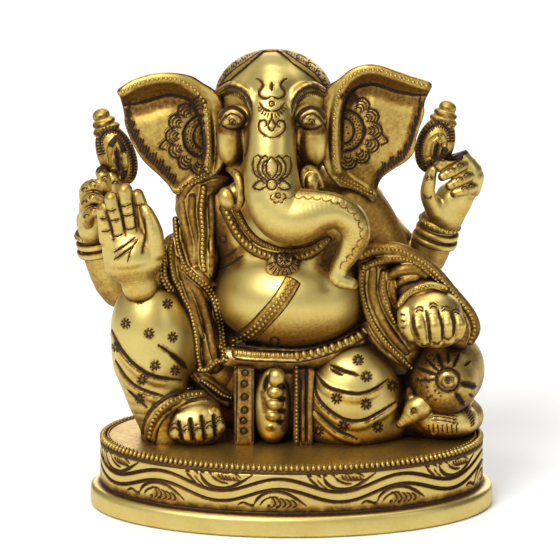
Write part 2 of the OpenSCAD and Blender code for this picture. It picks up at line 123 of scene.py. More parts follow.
def limb(points, widths, steps=4):
    """A round form along a smooth line, with a radius for each point or one for all."""
    if np.ndim(widths) == 0:
        widths = [widths] * len(points)
    line = curve(np.column_stack([np.array(points, F32), np.array(widths, F32)]), steps)

    def distance(p):
        out = np.full(len(p), REACH, F32)
        for a, b in zip(line[:-1], line[1:]):
            reach = max(a[3], b[3]) + REACH
            low = np.minimum(a[:3], b[:3]) - reach
            high = np.maximum(a[:3], b[:3]) + reach
            near = np.flatnonzero(((p > low) & (p < high)).all(1))
            if not len(near):
                continue
            q = p[near] - a[:3]
            ab = b[:3] - a[:3]
            t = np.clip(q @ ab / max(float(ab @ ab), 1e-9), 0, 1)
            gap = np.linalg.norm(q - t[:, None] * ab, axis=1) - (a[3] + t * (b[3] - a[3]))
            out[near] = np.minimum(out[near], gap)
        return out

    return distance


def join(soft, *forms):
    """All the forms together, with fillets about soft mm across."""
    def distance(p):
        out = forms[0](p)
        for form in forms[1:]:
            other = form(p)
            h = np.clip(0.5 + 0.5 * (other - out) / max(soft, 1e-6), 0, 1)
            out = other + (out - other) * h - soft * h * (1 - h)
        return out

    return distance


def less(soft, form, *tools):
    """The form with the tools cut away."""
    def distance(p):
        out = form(p)
        for tool in tools:
            other = -tool(p)
            h = np.clip(0.5 - 0.5 * (other - out) / max(soft, 1e-6), 0, 1)
            out = other + (out - other) * h + soft * h * (1 - h)
        return out

    return distance


def both(soft, a, b):
    """Only what two forms share."""
    return less(soft, a, lambda p: -b(p))


def seated(form):
    """The form cut off level with the plinth's top."""
    return lambda p: np.maximum(form(p), SEAT - p[:, 2])


def outline(points, steps=5):
    """Signed distance from (s, t) to a closed smooth outline."""
    ring = curve(list(points) + [points[0]], steps)

    def distance(m):
        out = np.full(len(m), 1e9, F32)
        inside = np.zeros(len(m), bool)
        for a, b in zip(ring[:-1], ring[1:]):
            ab = b - a
            q = m - a
            t = np.clip(q @ ab / max(float(ab @ ab), 1e-9), 0, 1)
            out = np.minimum(out, np.linalg.norm(q - t[:, None] * ab, axis=1))
            rise = (a[1] > m[:, 1]) != (b[1] > m[:, 1])
            step = b[1] - a[1] if abs(b[1] - a[1]) > 1e-6 else 1e-6
            inside ^= rise & (m[:, 0] < a[0] + (m[:, 1] - a[1]) / step * ab[0])
        return np.where(inside, -out, out)

    return distance


# ---------------------------------------------------------------- picture and surface

def seen(marks):
    """Points from rows of (s, t, y): where the picture shows them, at the depth y."""
    m = np.array(marks, F32)
    return np.column_stack([m[:, 0], m[:, 2], (m[:, 1] - m[:, 2] * UP[1]) / UP[2]]).astype(F32)


def spot(s, t, y):
    """The one point that the picture shows at (s, t), at the depth y."""
    return seen([(s, t, y)])[0]


def picture(p):
    """Where points fall on the picture, as rows of (s, t)."""
    return np.column_stack([p[:, 0], p @ UP])


def slope(form, p, e=0.12):
    """The form's gradient and mean value at points, from four samples round each."""
    corners = np.array([[1, -1, -1], [-1, -1, 1], [-1, 1, -1], [1, 1, 1]], F32)
    values = [form(p + k * e) for k in corners]
    gradient = sum(v[:, None] * k for v, k in zip(values, corners)) / (4 * e)
    return gradient, sum(values) / 4


def outward(form, p):
    """Unit normals of the form at points."""
    g = slope(form, p)[0]
    return g / np.maximum(np.linalg.norm(g, axis=1), 1e-6)[:, None]


def onto(form, marks, lift=0.0, back=False):
    """Where the viewer sees the marks fall on the form, moved lift mm out of it."""
    m = np.array(marks, F32)
    way = -AWAY if back else AWAY
    start = m[:, :1] * RIGHT + m[:, 1:2] * UP - way * STAND_OFF
    gone = np.zeros(len(m), F32)
    for _ in range(STRIDES):
        gone = np.minimum(gone + form(start + way * gone[:, None]) * 0.8, 2 * STAND_OFF)
    hit = gone < 2 * STAND_OFF - 10
    if hit.any() and not hit.all():
        gone = np.interp(np.arange(len(m)), np.flatnonzero(hit), gone[hit]).astype(F32)
    p = start + way * gone[:, None]
    return p + outward(form, p) * lift if lift else p


def strand(form, marks, radius, lift=0.0):
    """A round ridge along marks on a form. radius is a number or one for each mark."""
    return limb(onto(form, marks, lift), radius)


# ---------------------------------------------------------------- meshes

class Cast:
    """A growing mesh: vertices in mm, faces, and how much patina and painted shade lie on each vertex."""

    def __init__(self):
        self.v, self.f, self.patina, self.count = [], [], [], 0

    def add(self, v, faces, patina):
        self.v.append(np.asarray(v, F32))
        self.f += [np.asarray(f) + self.count for f in faces]
        self.patina.append(np.asarray(patina, F32))
        self.count += len(v)

    def finish(self, name, slot, *nodes):
        v = np.vstack(self.v) * MM
        mesh = bpy.data.meshes.new(name)
        loops = np.concatenate([f.reshape(-1) for f in self.f]).astype(np.int32)
        sizes = np.concatenate([np.full(len(f), f.shape[1]) for f in self.f]).astype(np.int32)
        mesh.vertices.add(len(v))
        mesh.vertices.foreach_set("co", v.astype(F32).ravel())
        mesh.loops.add(len(loops))
        mesh.loops.foreach_set("vertex_index", loops)
        mesh.polygons.add(len(sizes))
        mesh.polygons.foreach_set("loop_start",
                                  np.concatenate([[0], np.cumsum(sizes)[:-1]]).astype(np.int32))
        mesh.polygons.foreach_set("loop_total", sizes)
        mesh.polygons.foreach_set("use_smooth", np.ones(len(sizes), bool))
        layer = mesh.attributes.new("patina", "FLOAT", "POINT")
        layer.data.foreach_set("value", np.concatenate(self.patina))
        mesh.update(calc_edges=True)
        mesh.validate()
        mesh.materials.append(MATERIALS[slot])
        piece = bpy.data.objects.new(name, mesh)
        bpy.context.scene.collection.objects.link(piece)
        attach(piece, "root")
        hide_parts(*nodes)
        return piece


def skin(form, low, high, h):
    """A quad mesh of the form inside a box, and its samples for the shade map."""
    low = np.array(low, F32)
    span = h * BLOCK
    n = np.ceil((np.array(high) - low) / span).astype(int) + 1
    index = np.stack(np.meshgrid(*[np.arange(k) for k in n], indexing="ij"), -1).reshape(-1, 3)
    corner = (low + index * span).astype(F32)
    rough = form(corner + F32(span / 2))
    far = 3 * h
    grid = np.empty((len(index), BLOCK**3), F32)
    grid[:] = np.where(rough > 0, far, -far)[:, None]
    near = np.flatnonzero(np.abs(rough) < span * 1.25)
    local = np.stack(np.meshgrid(*[np.arange(BLOCK)] * 3, indexing="ij"), -1).reshape(-1, 3)
    local = ((local + 0.5) * h).astype(F32)
    for part in np.array_split(near, len(near) // BATCH + 1):
        p = (corner[part][:, None, :] + local[None]).reshape(-1, 3)
        grid[part] = np.clip(form(p), -far, far).reshape(len(part), -1)
    shape = tuple(n) + (BLOCK,) * 3
    dense = grid.reshape(shape).transpose(0, 3, 1, 4, 2, 5).reshape(tuple(n * BLOCK))
    volume = openvdb.FloatGrid(far)
    volume.copyFromArray(np.ascontiguousarray(dense), tolerance=1e-6)
    points, quads = volume.convertToQuads(0.0)[:2]
    SOLID.append((low, h, dense < 0))
    return (low + (points + 0.5) * h).astype(F32), quads[:, ::-1].astype(np.int64)


def vertex_normals(v, quads):
    """Unit normals of a quad mesh, each face weighed by its area."""
    a, b, c, d = (v[quads[:, k]] for k in range(4))
    face = np.cross(c - a, d - b)
    n = np.zeros_like(v)
    for k in range(4):
        for axis in range(3):
            n[:, axis] += np.bincount(quads[:, k], face[:, axis], len(v))
    return n / np.maximum(np.linalg.norm(n, axis=1), 1e-9)[:, None]


def neighbour_mean(quads, values):
    """The mean of values over each vertex's neighbours along edges."""
    values = values if values.ndim == 2 else values[:, None]
    total = np.zeros(values.shape)
    count = np.zeros(len(values))
    for k in range(4):
        for a, b in ((quads[:, k], quads[:, (k + 1) % 4]), (quads[:, (k + 1) % 4], quads[:, k])):
            count += np.bincount(a, minlength=len(values))
            for axis in range(values.shape[1]):
                total[:, axis] += np.bincount(a, values[b, axis], len(values))
    return total / np.maximum(count, 1)[:, None]


def hollowness(v, quads):
    """How strongly the surface is dished at each vertex, per mm, smoothed twice."""
    n = vertex_normals(v, quads)
    mean = neighbour_mean(quads, v)
    edge = np.linalg.norm(v[quads[:, 0]] - v[quads[:, 1]], axis=1).mean()
    bend = ((mean - v) * n).sum(1) / edge**2
    for _ in range(2):
        bend = neighbour_mean(quads, bend)[:, 0]
    return bend


def step(low, high, x):
    """A smooth rise from 0 where x is low to 1 where it is high."""
    t = np.clip((x - low) / (high - low), 0, 1)
    return t * t * (3 - 2 * t)


# ---------------------------------------------------------------- chasing

class Marks:
    """Grooves drawn on the picture, each a smooth line with a width and a depth."""

    def __init__(self):
        self.lines = []
        self.shade_and_patina_patches = []

    def line(self, points, width=0.7, depth=0.45, steps=5, taper=True):
        self.lines.append((curve(points, steps), width, depth, taper))
        return self

    def shade_and_patina_patch(self, points, width, amount=0.5):
        """Painted shade, with some patina, that darkens a broad stretch, with no depth."""
        self.shade_and_patina_patches.append((curve(points, 4), width, amount))
        return self

    def ring(self, centre, radius, width=0.6, depth=0.4, start=0, end=360, squash=1.0):
        a = np.radians(np.linspace(start, end, 17))
        points = np.column_stack([centre[0] + radius * np.cos(a), centre[1] + radius * squash * np.sin(a)])
        self.lines.append((points.astype(F32), width, depth, False))
        return self

    def dot(self, centre, width=0.8, depth=0.4):
        s, t = centre
        self.lines.append((np.array([[s - 0.02, t], [s + 0.02, t]], F32), width, depth, False))
        return self

    def flower(self, centre, size=1.0, petals=8):
        """A ring of stamped petals."""
        for k in range(petals):
            a = 2 * math.pi * (k + 0.35) / petals
            c, d = math.cos(a) * size, math.sin(a) * size
            self.line([(centre[0] + 0.75 * c, centre[1] + 0.75 * d),
                       (centre[0] + 1.45 * c, centre[1] + 1.45 * d)],
                      0.62 * size, 0.42, 1, False)
        return self

    def hatch(self, path, length, pitch, lean=0.0, width=0.4, depth=0.3):
        """Short strokes across a line, leaning by lean degrees."""
        points, ways = along(path, pitch)
        turn = math.radians(90 + lean)
        c, d = math.cos(turn), math.sin(turn)
        for p, w in zip(points, ways):
            out = np.array([c * w[0] - d * w[1], d * w[0] + c * w[1]])
            self.line([p, p + out * length], width, depth, 1)
        return self

    def scallops(self, path, pitch, height, width=0.5, depth=0.35):
        """A row of small arcs that hang on the left of a line."""
        points, ways = along(path, pitch)
        for p, w in zip(points, ways):
            out = np.array([-w[1], w[0]])
            arc = [p + w * pitch * x + out * height * y
                   for x, y in ((-0.45, 0.1), (-0.25, 0.8), (0, 1), (0.25, 0.8), (0.45, 0.1))]
            self.line(arc, width, depth, 3, False)
        return self

    def mirrored(self, middle):
        """Adds the mirror image of every line about s = middle."""
        for points, width, depth, taper in list(self.lines):
            self.lines.append((np.column_stack([2 * middle - points[:, 0], points[:, 1]]).astype(F32),
                               width, depth, taper))
        for points, width, amount in list(self.shade_and_patina_patches):
            self.shade_and_patina_patches.append((np.column_stack([2 * middle - points[:, 0], points[:, 1]]).astype(F32),
                                width, amount))
        return self

    def press(self, m):
        """Depth and darkness of the grooves at picture points m, and the painted shade of the broad patches.
        """
        depth = np.zeros(len(m), F32)
        dark = np.zeros(len(m), F32)
        for points, width, deep, taper in self.lines:
            half = width / 2
            low = points.min(0) - width
            high = points.max(0) + width
            near = np.flatnonzero(((m > low) & (m < high)).all(1))
            if not len(near):
                continue
            q = m[near]
            best = np.full(len(near), 1e9, F32)
            place = np.zeros(len(near), F32)
            total = len(points) - 1
            for k, (a, b) in enumerate(zip(points[:-1], points[1:])):
                ab = b - a
                t = np.clip((q - a) @ ab / max(float(ab @ ab), 1e-9), 0, 1)
                gap = np.linalg.norm(q - a - t[:, None] * ab, axis=1)
                closer = gap < best
                best[closer] = gap[closer]
                place[closer] = (k + t[closer]) / total
            fade = np.minimum(1, 0.35 + 4 * np.minimum(place, 1 - place)) if taper else 1.0
            shape = step(0, 1, 1 - best / (half * fade))
            depth[near] = np.maximum(depth[near], shape * deep * fade)
            dark[near] = np.maximum(dark[near],
                                    step(0, 0.8, 1.35 - best / (half * fade)) * min(1, deep / 0.3))
        for points, width, amount in self.shade_and_patina_patches:
            best = np.full(len(m), 1e9, F32)
            for a, b in zip(points[:-1], points[1:]):
                ab = b - a
                t = np.clip((m - a) @ ab / max(float(ab @ ab), 1e-9), 0, 1)
                best = np.minimum(best, np.linalg.norm(m - a - t[:, None] * ab, axis=1))
            dark = np.maximum(dark, amount * step(1, 0.2, best / (width / 2)))
        return depth, dark


def along(path, pitch):
    """Evenly spaced points along a smooth line and the unit direction at each."""
    p = curve(path, 8)
    gaps = np.linalg.norm(np.diff(p, axis=0), axis=1)
    length = np.concatenate([[0], np.cumsum(gaps)])
    places = np.linspace(0, length[-1], max(2, int(round(length[-1] / pitch)) + 1))
    points = np.column_stack([np.interp(places, length, p[:, k]) for k in range(p.shape[1])])
    ways = np.gradient(points, axis=0)
    return points, ways / np.maximum(np.linalg.norm(ways, axis=1), 1e-9)[:, None]


def bead_shape():
    """A small ball of triangles, radius 1."""
    import bmesh
    bm = bmesh.new()
    bmesh.ops.create_icosphere(bm, subdivisions=2, radius=1)
    v = np.array([x.co[:] for x in bm.verts], F32)
    f = np.array([[x.index for x in face.verts] for face in bm.faces])
    bm.free()
    return v, f


BEAD = bead_shape()


def beads(cast, points, ways, out, size):
    """Adds beads at points. size is (along ways, across, along out)."""
    size = np.broadcast_to(np.array(size, F32), (len(points), 3))
    across = np.cross(out, ways)
    across /= np.maximum(np.linalg.norm(across, axis=1), 1e-9)[:, None]
    ahead = np.cross(across, out)
    v, f = BEAD
    local = v[None] * size[:, None, :]
    placed = (
        points[:, None, :]
        + local[:, :, :1] * ahead[:, None]
        + local[:, :, 1:2] * across[:, None]
        + local[:, :, 2:] * out[:, None]
    )
    n = len(points)
    faces = (f[None] + np.arange(n)[:, None, None] * len(v)).reshape(-1, 3)
    sunk = step(0.75, -0.35, np.tile(v[:, 2], n))
    cast.add(placed.reshape(-1, 3), [faces], 0.14 + 0.86 * sunk)


def bead_row(cast, form, marks, pitch, size, lift=0.2, rows=1, gap=1.0, back=False):
    """Beads on a form along marks, in one or more rows gap mm apart."""
    flat, ways2 = along(marks, pitch)
    side = np.column_stack([-ways2[:, 1], ways2[:, 0]])
    for row in range(rows):
        shift = (row - (rows - 1) / 2) * gap
        stagger = ways2 * pitch * 0.5 * (row % 2)
        p = onto(form, flat + side * shift + stagger, 0, back)
        n = outward(form, p)
        ways = np.gradient(p, axis=0)
        met = np.abs(form(p)) < 0.5
        beads(cast, (p + n * lift)[met], ways[met], n[met], size)


# ---------------------------------------------------------------- the shade map

SOLID = []
SHADE = {}


def blurred(a, radius, rounds):
    """A box blur along each axis."""
    width = 2 * radius + 1
    for _ in range(rounds):
        for axis in range(3):
            pad = [(0, 0)] * 3
            pad[axis] = (radius + 1, radius)
            total = np.cumsum(np.pad(a, pad, mode="edge"), axis=axis, dtype=F32)
            upper = np.take(total, np.arange(width, total.shape[axis]), axis=axis)
            lower = np.take(total, np.arange(0, total.shape[axis] - width), axis=axis)
            a = (upper - lower) / width
    return a


def make_shade_map():
    """How full of metal each place is, at a near and a far scale, from all the forms together."""
    h = 1.0
    margin = 12
    low = np.array(CAD_BOX[0]) / MM - margin
    high = np.array(CAD_BOX[1]) / MM + margin
    n = np.ceil((high - low) / h).astype(int)
    full = np.zeros(tuple(n), F32)
    for origin, size, inside in SOLID:
        first = np.maximum(np.floor((origin - low) / h).astype(int), 0)
        last = np.minimum(np.ceil((origin + np.array(inside.shape) * size - low) / h).astype(int), n)
        axes = [np.clip(((low[k] + (np.arange(first[k], last[k]) + 0.5) * h
                          - origin[k]) / size).astype(int), 0, inside.shape[k] - 1)
                for k in range(3)]
        part = inside[np.ix_(*axes)]
        window = full[first[0]:last[0], first[1]:last[1], first[2]:last[2]]
        np.maximum(window, part, out=window)
    # The plinth is made apart from the sampled forms.
    half_x, half_y = 63, 39
    plate = int((SEAT - low[2]) / h)
    x = (low[0] + (np.arange(n[0]) + 0.5) * h)[:, None] / half_x
    y = (low[1] + (np.arange(n[1]) + 0.5) * h)[None] / half_y
    full[:, :, :plate] = (x**2 + y**2 < 1)[:, :, None]
    SHADE.update(low=low, h=h, near=blurred(full, 1, 2), far=blurred(full, 3, 2))


def fullness(kind, p):
    """The shade map's value at points, blended between its cells."""
    grid = SHADE[kind]
    q = (p - SHADE["low"]) / SHADE["h"] - 0.5
    i = np.clip(np.floor(q).astype(int), 0, np.array(grid.shape) - 2)
    f = np.clip(q - i, 0, 1)
    out = np.zeros(len(p))
    for dx in (0, 1):
        for dy in (0, 1):
            for dz in (0, 1):
                w = np.abs(1 - dx - f[:, 0]) * np.abs(1 - dy - f[:, 1]) * np.abs(1 - dz - f[:, 2])
                out += w * grid[i[:, 0] + dx, i[:, 1] + dy, i[:, 2] + dz]
    return out


def shade(v, n):
    """Painted shade, with patina, that gathers where metal crowds round a place."""
    near = step(0.30, 0.64, fullness("near", v + n * 0.8))
    far = step(0.20, 0.62, fullness("far", v + n * 2.5))
    return np.maximum(0.80 * near, 0.66 * far)


WAITING = []
CREASE_BEND = (0.08, 0.50)      # bends per mm at which a hollow starts to hold patina, and is full of it
WORN_BEND = (-0.04, -0.20)      # bends per mm at which a ridge starts to be rubbed, and is quite bright


def form_piece(slot, node, form, h=PLAIN, marks=None, pad=5, extra=None, others=(), back_marks=None,
               tone=0.0):
    """Samples a form now, and finishes it once every form is in the shade map.

    h is the mm between samples and pad the mm by which the form may leave the node's box. extra(cast) adds
    beads and other small work. others are further nodes that this piece stands for. tone is patina all over.
    """
    low, high = box_mm(node)
    for other in others:
        a, b = box_mm(other)
        low, high = np.minimum(low, a), np.maximum(high, b)
    v, quads = skin(form, low - pad, high + pad, h)
    g, d = slope(form, v)
    v = v - g * (d / np.maximum((g * g).sum(1), 0.2))[:, None]
    WAITING.append((slot, (node, *others), form, v, quads, marks, back_marks, extra, tone))


def finish_forms():
    make_shade_map()
    for slot, nodes, form, v, quads, marks, back_marks, extra, tone in WAITING:
        n = outward(form, v)
        grooves_and_shade_patches = np.zeros(len(v), F32)
        for drawn, side in ((marks, -1), (back_marks, 1)):
            if drawn is None:
                continue
            facing = step(0.02, 0.3, (n @ AWAY) * side)
            depth, dark = drawn.press(picture(v))
            v = v - n * (depth * facing)[:, None]
            # The marks add groove darkness, and painted shade from their broad patches.
            grooves_and_shade_patches = np.maximum(grooves_and_shade_patches, dark * facing)
        bend = hollowness(v, quads)
        crease = 0.9 * step(*CREASE_BEND, bend)
        worn = step(*WORN_BEND, bend)
        # Painted shade: faces that turn downwards are darkened.
        under = 0.34 * step(0.1, -0.8, n[:, 2])
        # Painted shade where metal crowds round, plus the piece's even tone, lightened on rubbed ridges.
        painted_shade_and_tone = (shade(v, n) + tone) * (1 - 0.8 * worn) + under
        patina = np.clip(np.maximum.reduce([grooves_and_shade_patches, crease, painted_shade_and_tone]), 0, 1)
        cast = Cast()
        cast.add(v, [quads], patina)
        if extra:
            extra(cast)
        cast.finish("_and_".join(nodes) + "_cast", slot, *nodes)


# ---------------------------------------------------------------- materials

def tinted(nodes, links, fac, stops):
    """A colour that follows fac through stops of (place, colour)."""
    ramp = nodes.new("ShaderNodeValToRGB")
    while len(ramp.color_ramp.elements) < len(stops):
        ramp.color_ramp.elements.new(0.5)
    for element, (place, colour) in zip(ramp.color_ramp.elements, stops):
        element.position = place
        element.color = (*colour, 1)
    links.new(fac, ramp.inputs["Fac"])
    return ramp.outputs["Color"]


def maths(nodes, links, kind, a, b):
    """The outcome of one sum of two values or sockets."""
    node = nodes.new("ShaderNodeMath")
    node.operation = kind
    for socket, value in zip(node.inputs, (a, b)):
        if isinstance(value, (int, float)):
            socket.default_value = value
        else:
            links.new(value, socket)
    return node.outputs[0]


def noise(nodes, links, place, scale, detail, rough=0.5):
    """A cloudy value between 0 and 1 that varies scale times a metre."""
    node = nodes.new("ShaderNodeTexNoise")
    node.inputs["Scale"].default_value = scale
    node.inputs["Detail"].default_value = detail
    node.inputs["Roughness"].default_value = rough
    links.new(place, node.inputs["Vector"])
    return node.outputs["Fac"]


def remapped(nodes, links, value, low, high, at_low, at_high):
    """The value carried from the range low to high onto at_low to at_high."""
    node = nodes.new("ShaderNodeMapRange")
    for name, number in (("From Min", low), ("From Max", high), ("To Min", at_low), ("To Max", at_high)):
        node.inputs[name].default_value = number
    links.new(value, node.inputs["Value"])
    return node.outputs["Result"]


def brass(name, gloss, stops, spread):
    """Hand-polished brass whose patina and painted shade follow the mesh's layer of both, broken up by
    noise.
    """
    material = bpy.data.materials.new(name)
    material.use_nodes = True
    nodes, links = material.node_tree.nodes, material.node_tree.links
    shader = nodes["Principled BSDF"]
    place = nodes.new("ShaderNodeTexCoord").outputs["Object"]
    layer = nodes.new("ShaderNodeAttribute")
    layer.attribute_name = "patina"
    cloud = noise(nodes, links, place, 90, 5, 0.6)
    grain = noise(nodes, links, place, 900, 3, 0.6)
    # Patina and painted shade with ragged edges, plus a faint tarnish that drifts over open metal.
    ragged = maths(nodes, links, "MULTIPLY", maths(nodes, links, "SUBTRACT", grain, 0.48), 1.1)
    held = maths(nodes, links, "ADD", layer.outputs["Fac"], 0.5 * spread)
    drift = maths(nodes, links, "MULTIPLY", maths(nodes, links, "SUBTRACT", cloud, 0.40), spread)
    patina_shade_mix = maths(nodes, links, "ADD", layer.outputs["Fac"], maths(nodes, links, "MULTIPLY", ragged, held))
    patina_shade_mix = maths(nodes, links, "ADD", patina_shade_mix, drift)
    links.new(tinted(nodes, links, patina_shade_mix, stops), shader.inputs["Base Color"])
    swing = maths(nodes, links, "MULTIPLY", maths(nodes, links, "SUBTRACT", cloud, 0.5), 0.25)
    wavering = maths(nodes, links, "ADD", patina_shade_mix, swing)
    links.new(remapped(nodes, links, wavering, 0.0, 0.9, gloss, 0.62), shader.inputs["Roughness"])
    links.new(remapped(nodes, links, patina_shade_mix, 0.5, 1.0, 1.0, 0.55), shader.inputs["Metallic"])
    bump = nodes.new("ShaderNodeBump")
    bump.inputs["Strength"].default_value = 0.25
    bump.inputs["Distance"].default_value = 0.00012
    links.new(maths(nodes, links, "ADD", cloud, maths(nodes, links, "MULTIPLY", grain, 0.35)),
              bump.inputs["Height"])
    links.new(bump.outputs["Normal"], shader.inputs["Normal"])
    return material


def steel():
    """Bright zinc plate with a faint spangle."""
    material = bpy.data.materials.new(ZINC)
    material.use_nodes = True
    nodes, links = material.node_tree.nodes, material.node_tree.links
    shader = nodes["Principled BSDF"]
    shader.inputs["Metallic"].default_value = 1.0
    place = nodes.new("ShaderNodeTexCoord").outputs["Object"]
    blotch = noise(nodes, links, place, 400, 4)
    links.new(tinted(nodes, links, blotch, [(0.3, (0.45, 0.46, 0.48)), (0.7, (0.66, 0.67, 0.69))]),
              shader.inputs["Base Color"])
    links.new(maths(nodes, links, "ADD", maths(nodes, links, "MULTIPLY", blotch, 0.2), 0.25),
              shader.inputs["Roughness"])
    return material


BRASS_STOPS = [
    (0.00, (0.67, 0.54, 0.185)),
    (0.16, (0.56, 0.40, 0.105)),
    (0.36, (0.33, 0.178, 0.036)),
    (0.62, (0.12, 0.054, 0.014)),
    (1.00, (0.026, 0.015, 0.008)),
]
MATERIALS = {
    POLISHED: brass(POLISHED, 0.40, BRASS_STOPS, 0.20),
    ANTIQUED: brass(ANTIQUED, 0.42, BRASS_STOPS, 0.50),
    ZINC: steel(),
}

# ---------------------------------------------------------------- plinth

FLANGE = box_mm("plinth_flange")
DRUM = box_mm("plinth_drum")
PLATE = box_mm("plinth_top_plate")
HALF_FLANGE = FLANGE[1][:2]
HALF_DRUM = DRUM[1][:2]
HALF_PLATE = PLATE[1][:2]
FLANGE_TOP = FLANGE[1][2]
PLATE_UNDER = PLATE[0][2]
# Vertices round each oval, and rings across the plate.
FLANGE_STEPS, DRUM_STEPS, VINE_STEPS, PLATE_STEPS = 720, 480, 1180, 480
PLATE_RINGS = 29


def oval_places(half, count):
    """Angles that step evenly along an oval, from its front, and the length travelled at each."""
    a = np.linspace(0, 2 * math.pi, 4001) - math.pi / 2
    run = np.concatenate([[0],
                          np.cumsum(np.hypot(np.diff(half[0] * np.cos(a)), np.diff(half[1] * np.sin(a))))])
    travel = np.linspace(0, run[-1], count, endpoint=False)
    return np.interp(travel, run, a), travel, run[-1]


def oval_sweep(half, profile, count, relief=None):
    """Carries a closed profile of (inset, z) round an oval. relief(travel, z) sinks its rows."""
    a, travel, total = oval_places(half, count)
    rows = np.array(profile)
    inset = np.repeat(rows[None, :, 0], count, 0)
    dark = np.zeros((count, len(rows)))
    if relief:
        sink, dark = relief(travel, total, rows)
        inset = inset + sink
    x = (half[0] - inset) * np.cos(a)[:, None]
    y = (half[1] - inset) * np.sin(a)[:, None]
    z = np.repeat(rows[None, :, 1], count, 0)
    m = len(rows)
    i = np.arange(count)[:, None]
    j = np.arange(m)[None]
    quads = np.stack([i * m + j, (i + 1) % count * m + j, (i + 1) % count * m + (j + 1) % m,
                      i * m + (j + 1) % m], -1)
    return np.stack([x, y, z], -1).reshape(-1, 3), quads.reshape(-1, 4), dark.reshape(-1)


def make_flange():
    wall = 8
    profile = [
        (wall, 0), (0.9, 0), (0.35, 0.25), (0.08, 0.9), (0, 2), (0, 3.5), (0.05, 5.0), (0.25, 6.0),
        (0.8, 6.7), (1.6, 7.0), (2.4, 7.1), (3.0, 7.15), (3.4, 7.4), (3.9, 7.4), (wall, 7.0)
    ]
    v, quads, _ = oval_sweep(HALF_FLANGE, profile, FLANGE_STEPS)
    near_wall = step(1.9, 3.3, HALF_FLANGE[0]
                     - np.hypot(v[:, 0], v[:, 1] * HALF_FLANGE[0] / HALF_FLANGE[1]))
    low_edge = step(0.7, 0.0, v[:, 2])
    cast = Cast()
    cast.add(v, [quads], np.maximum(0.85 * near_wall, 0.35 * low_edge))
    cast.finish("plinth_flange_cast", POLISHED, "plinth_flange")


def make_drum():
    profile = [(4.4, 7.0), (-0.1, 7.0), (-0.1, 7.6), (0.25, 8.0), (1.6, 8.2), (1.6, 19.6), (0.4, 19.8),
               (0.4, 20.0), (4.4, 20.0)]
    v, quads, _ = oval_sweep(HALF_DRUM, profile, DRUM_STEPS)
    cast = Cast()
    cast.add(v, [quads], np.full(len(v), 0.75))
    cast.finish("plinth_drum_cast", ANTIQUED, "plinth_drum")


VINE_WAVES = 8
VINE_SHIFT = -3.8     # mm from the plinth's front to a crest of the stem
STEM_MIDDLE, STEM_SWING, STEM_HALF = 15.0, 2.3, 1.7


def vine_marks(wave):
    """Grooves of one wave of vine, with its crest in the middle at u = 0 and troughs at the ends."""
    marks = Marks()
    u = np.linspace(-wave / 2, wave / 2, 25)
    for side in (-1, 1):
        z = STEM_MIDDLE + STEM_SWING * np.cos(2 * math.pi * u / wave) + side * STEM_HALF
        marks.line(np.column_stack([u, z]), 1.3, 1.0, 2, False)
    # The leaf in the trough right of the crest: three curled lobes and a tip, from the trough's middle.
    lobes = [
        [(-10.2, 19.9), (-11.0, 20.6), (-9.6, 21.2), (-8.0, 20.7), (-6.9, 19.4)],
        [(-10.8, 19.4), (-9.0, 17.6), (-7.2, 15.8)],
        [(-5.0, 20.0), (-6.0, 20.9), (-4.6, 21.4), (-3.2, 20.8), (-2.4, 19.6)],
        [(-6.1, 19.6), (-5.0, 17.6), (-2.8, 15.9), (0, 15.3), (3.4, 15.6), (7.0, 17.4), (11.2, 20.2)],
        [(-1.8, 20.2), (-1.2, 20.9), (0.4, 21.0), (2.0, 20.4), (4.2, 20.8), (6.2, 20.0), (7.6, 19.0)],
        [(-2.2, 19.4), (-1.0, 18.2), (1.2, 17.2), (3.2, 17.0)],
        [(-8.2, 19.0), (-6.8, 17.2), (-4.6, 15.4)],
    ]
    widths = (1.0, 0.9, 1.0, 1.25, 0.7, 0.8, 0.5)
    for shift in (wave / 2, -wave / 2):
        for points, width in zip(lobes, widths):
            marks.line([(x + shift, z) for x, z in points], width, 0.8 * min(1, width), 4)
        for x, z in ((-10.6, 20.2), (-5.5, 20.5)):
            marks.dot((x + shift, z), 1.5, 0.9)
        for k in range(6):
            marks.line([(-0.2 + 1.2 * k + shift, 20.2 - 0.2 * k), (0.6 + 1.2 * k + shift, 18.8 - 0.1 * k),
                        (2.2 + 1.1 * k + shift, 18.0)], 0.5, 0.4, 3)
        marks.shade_and_patina_patch([(0 + shift, 19), (6 + shift, 18.6)], 3.4, 0.4)
    # The leaf under the crest, ribbed, with a small lobe each side.
    marks.line([(-8.4, 10.4), (-7.2, 12.4), (-4.8, 14.1), (-1.4, 14.8), (2.2, 14.2), (5.4, 12.4),
                (8.4, 10.2)], 1.1, 0.9, 4)
    marks.line([(-6.6, 10.2), (-5.2, 11.8), (-3.0, 12.8), (-0.6, 13.0)], 0.7, 0.6, 4)
    marks.line([(-13.8, 10.0), (-12.0, 10.8), (-10.2, 10.2), (-8.6, 9.4)], 0.9, 0.7, 4)
    for x, z in ((-3.6, 9.9), (-0.8, 9.5), (-9.0, 9.9)):
        marks.dot((x, z), 1.3, 0.8)
    for k in range(5):
        marks.line([(-3.4 + 1.7 * k, 13.2 - 0.25 * k), (-1.9 + 1.7 * k, 12.0 - 0.2 * k),
                    (-1.6 + 1.7 * k, 10.4 - 0.1 * k), (-2.8 + 1.7 * k, 9.4)], 0.7, 0.6, 3)
    marks.shade_and_patina_patch([(-2, 11), (6, 10)], 4, 0.4)
    return marks


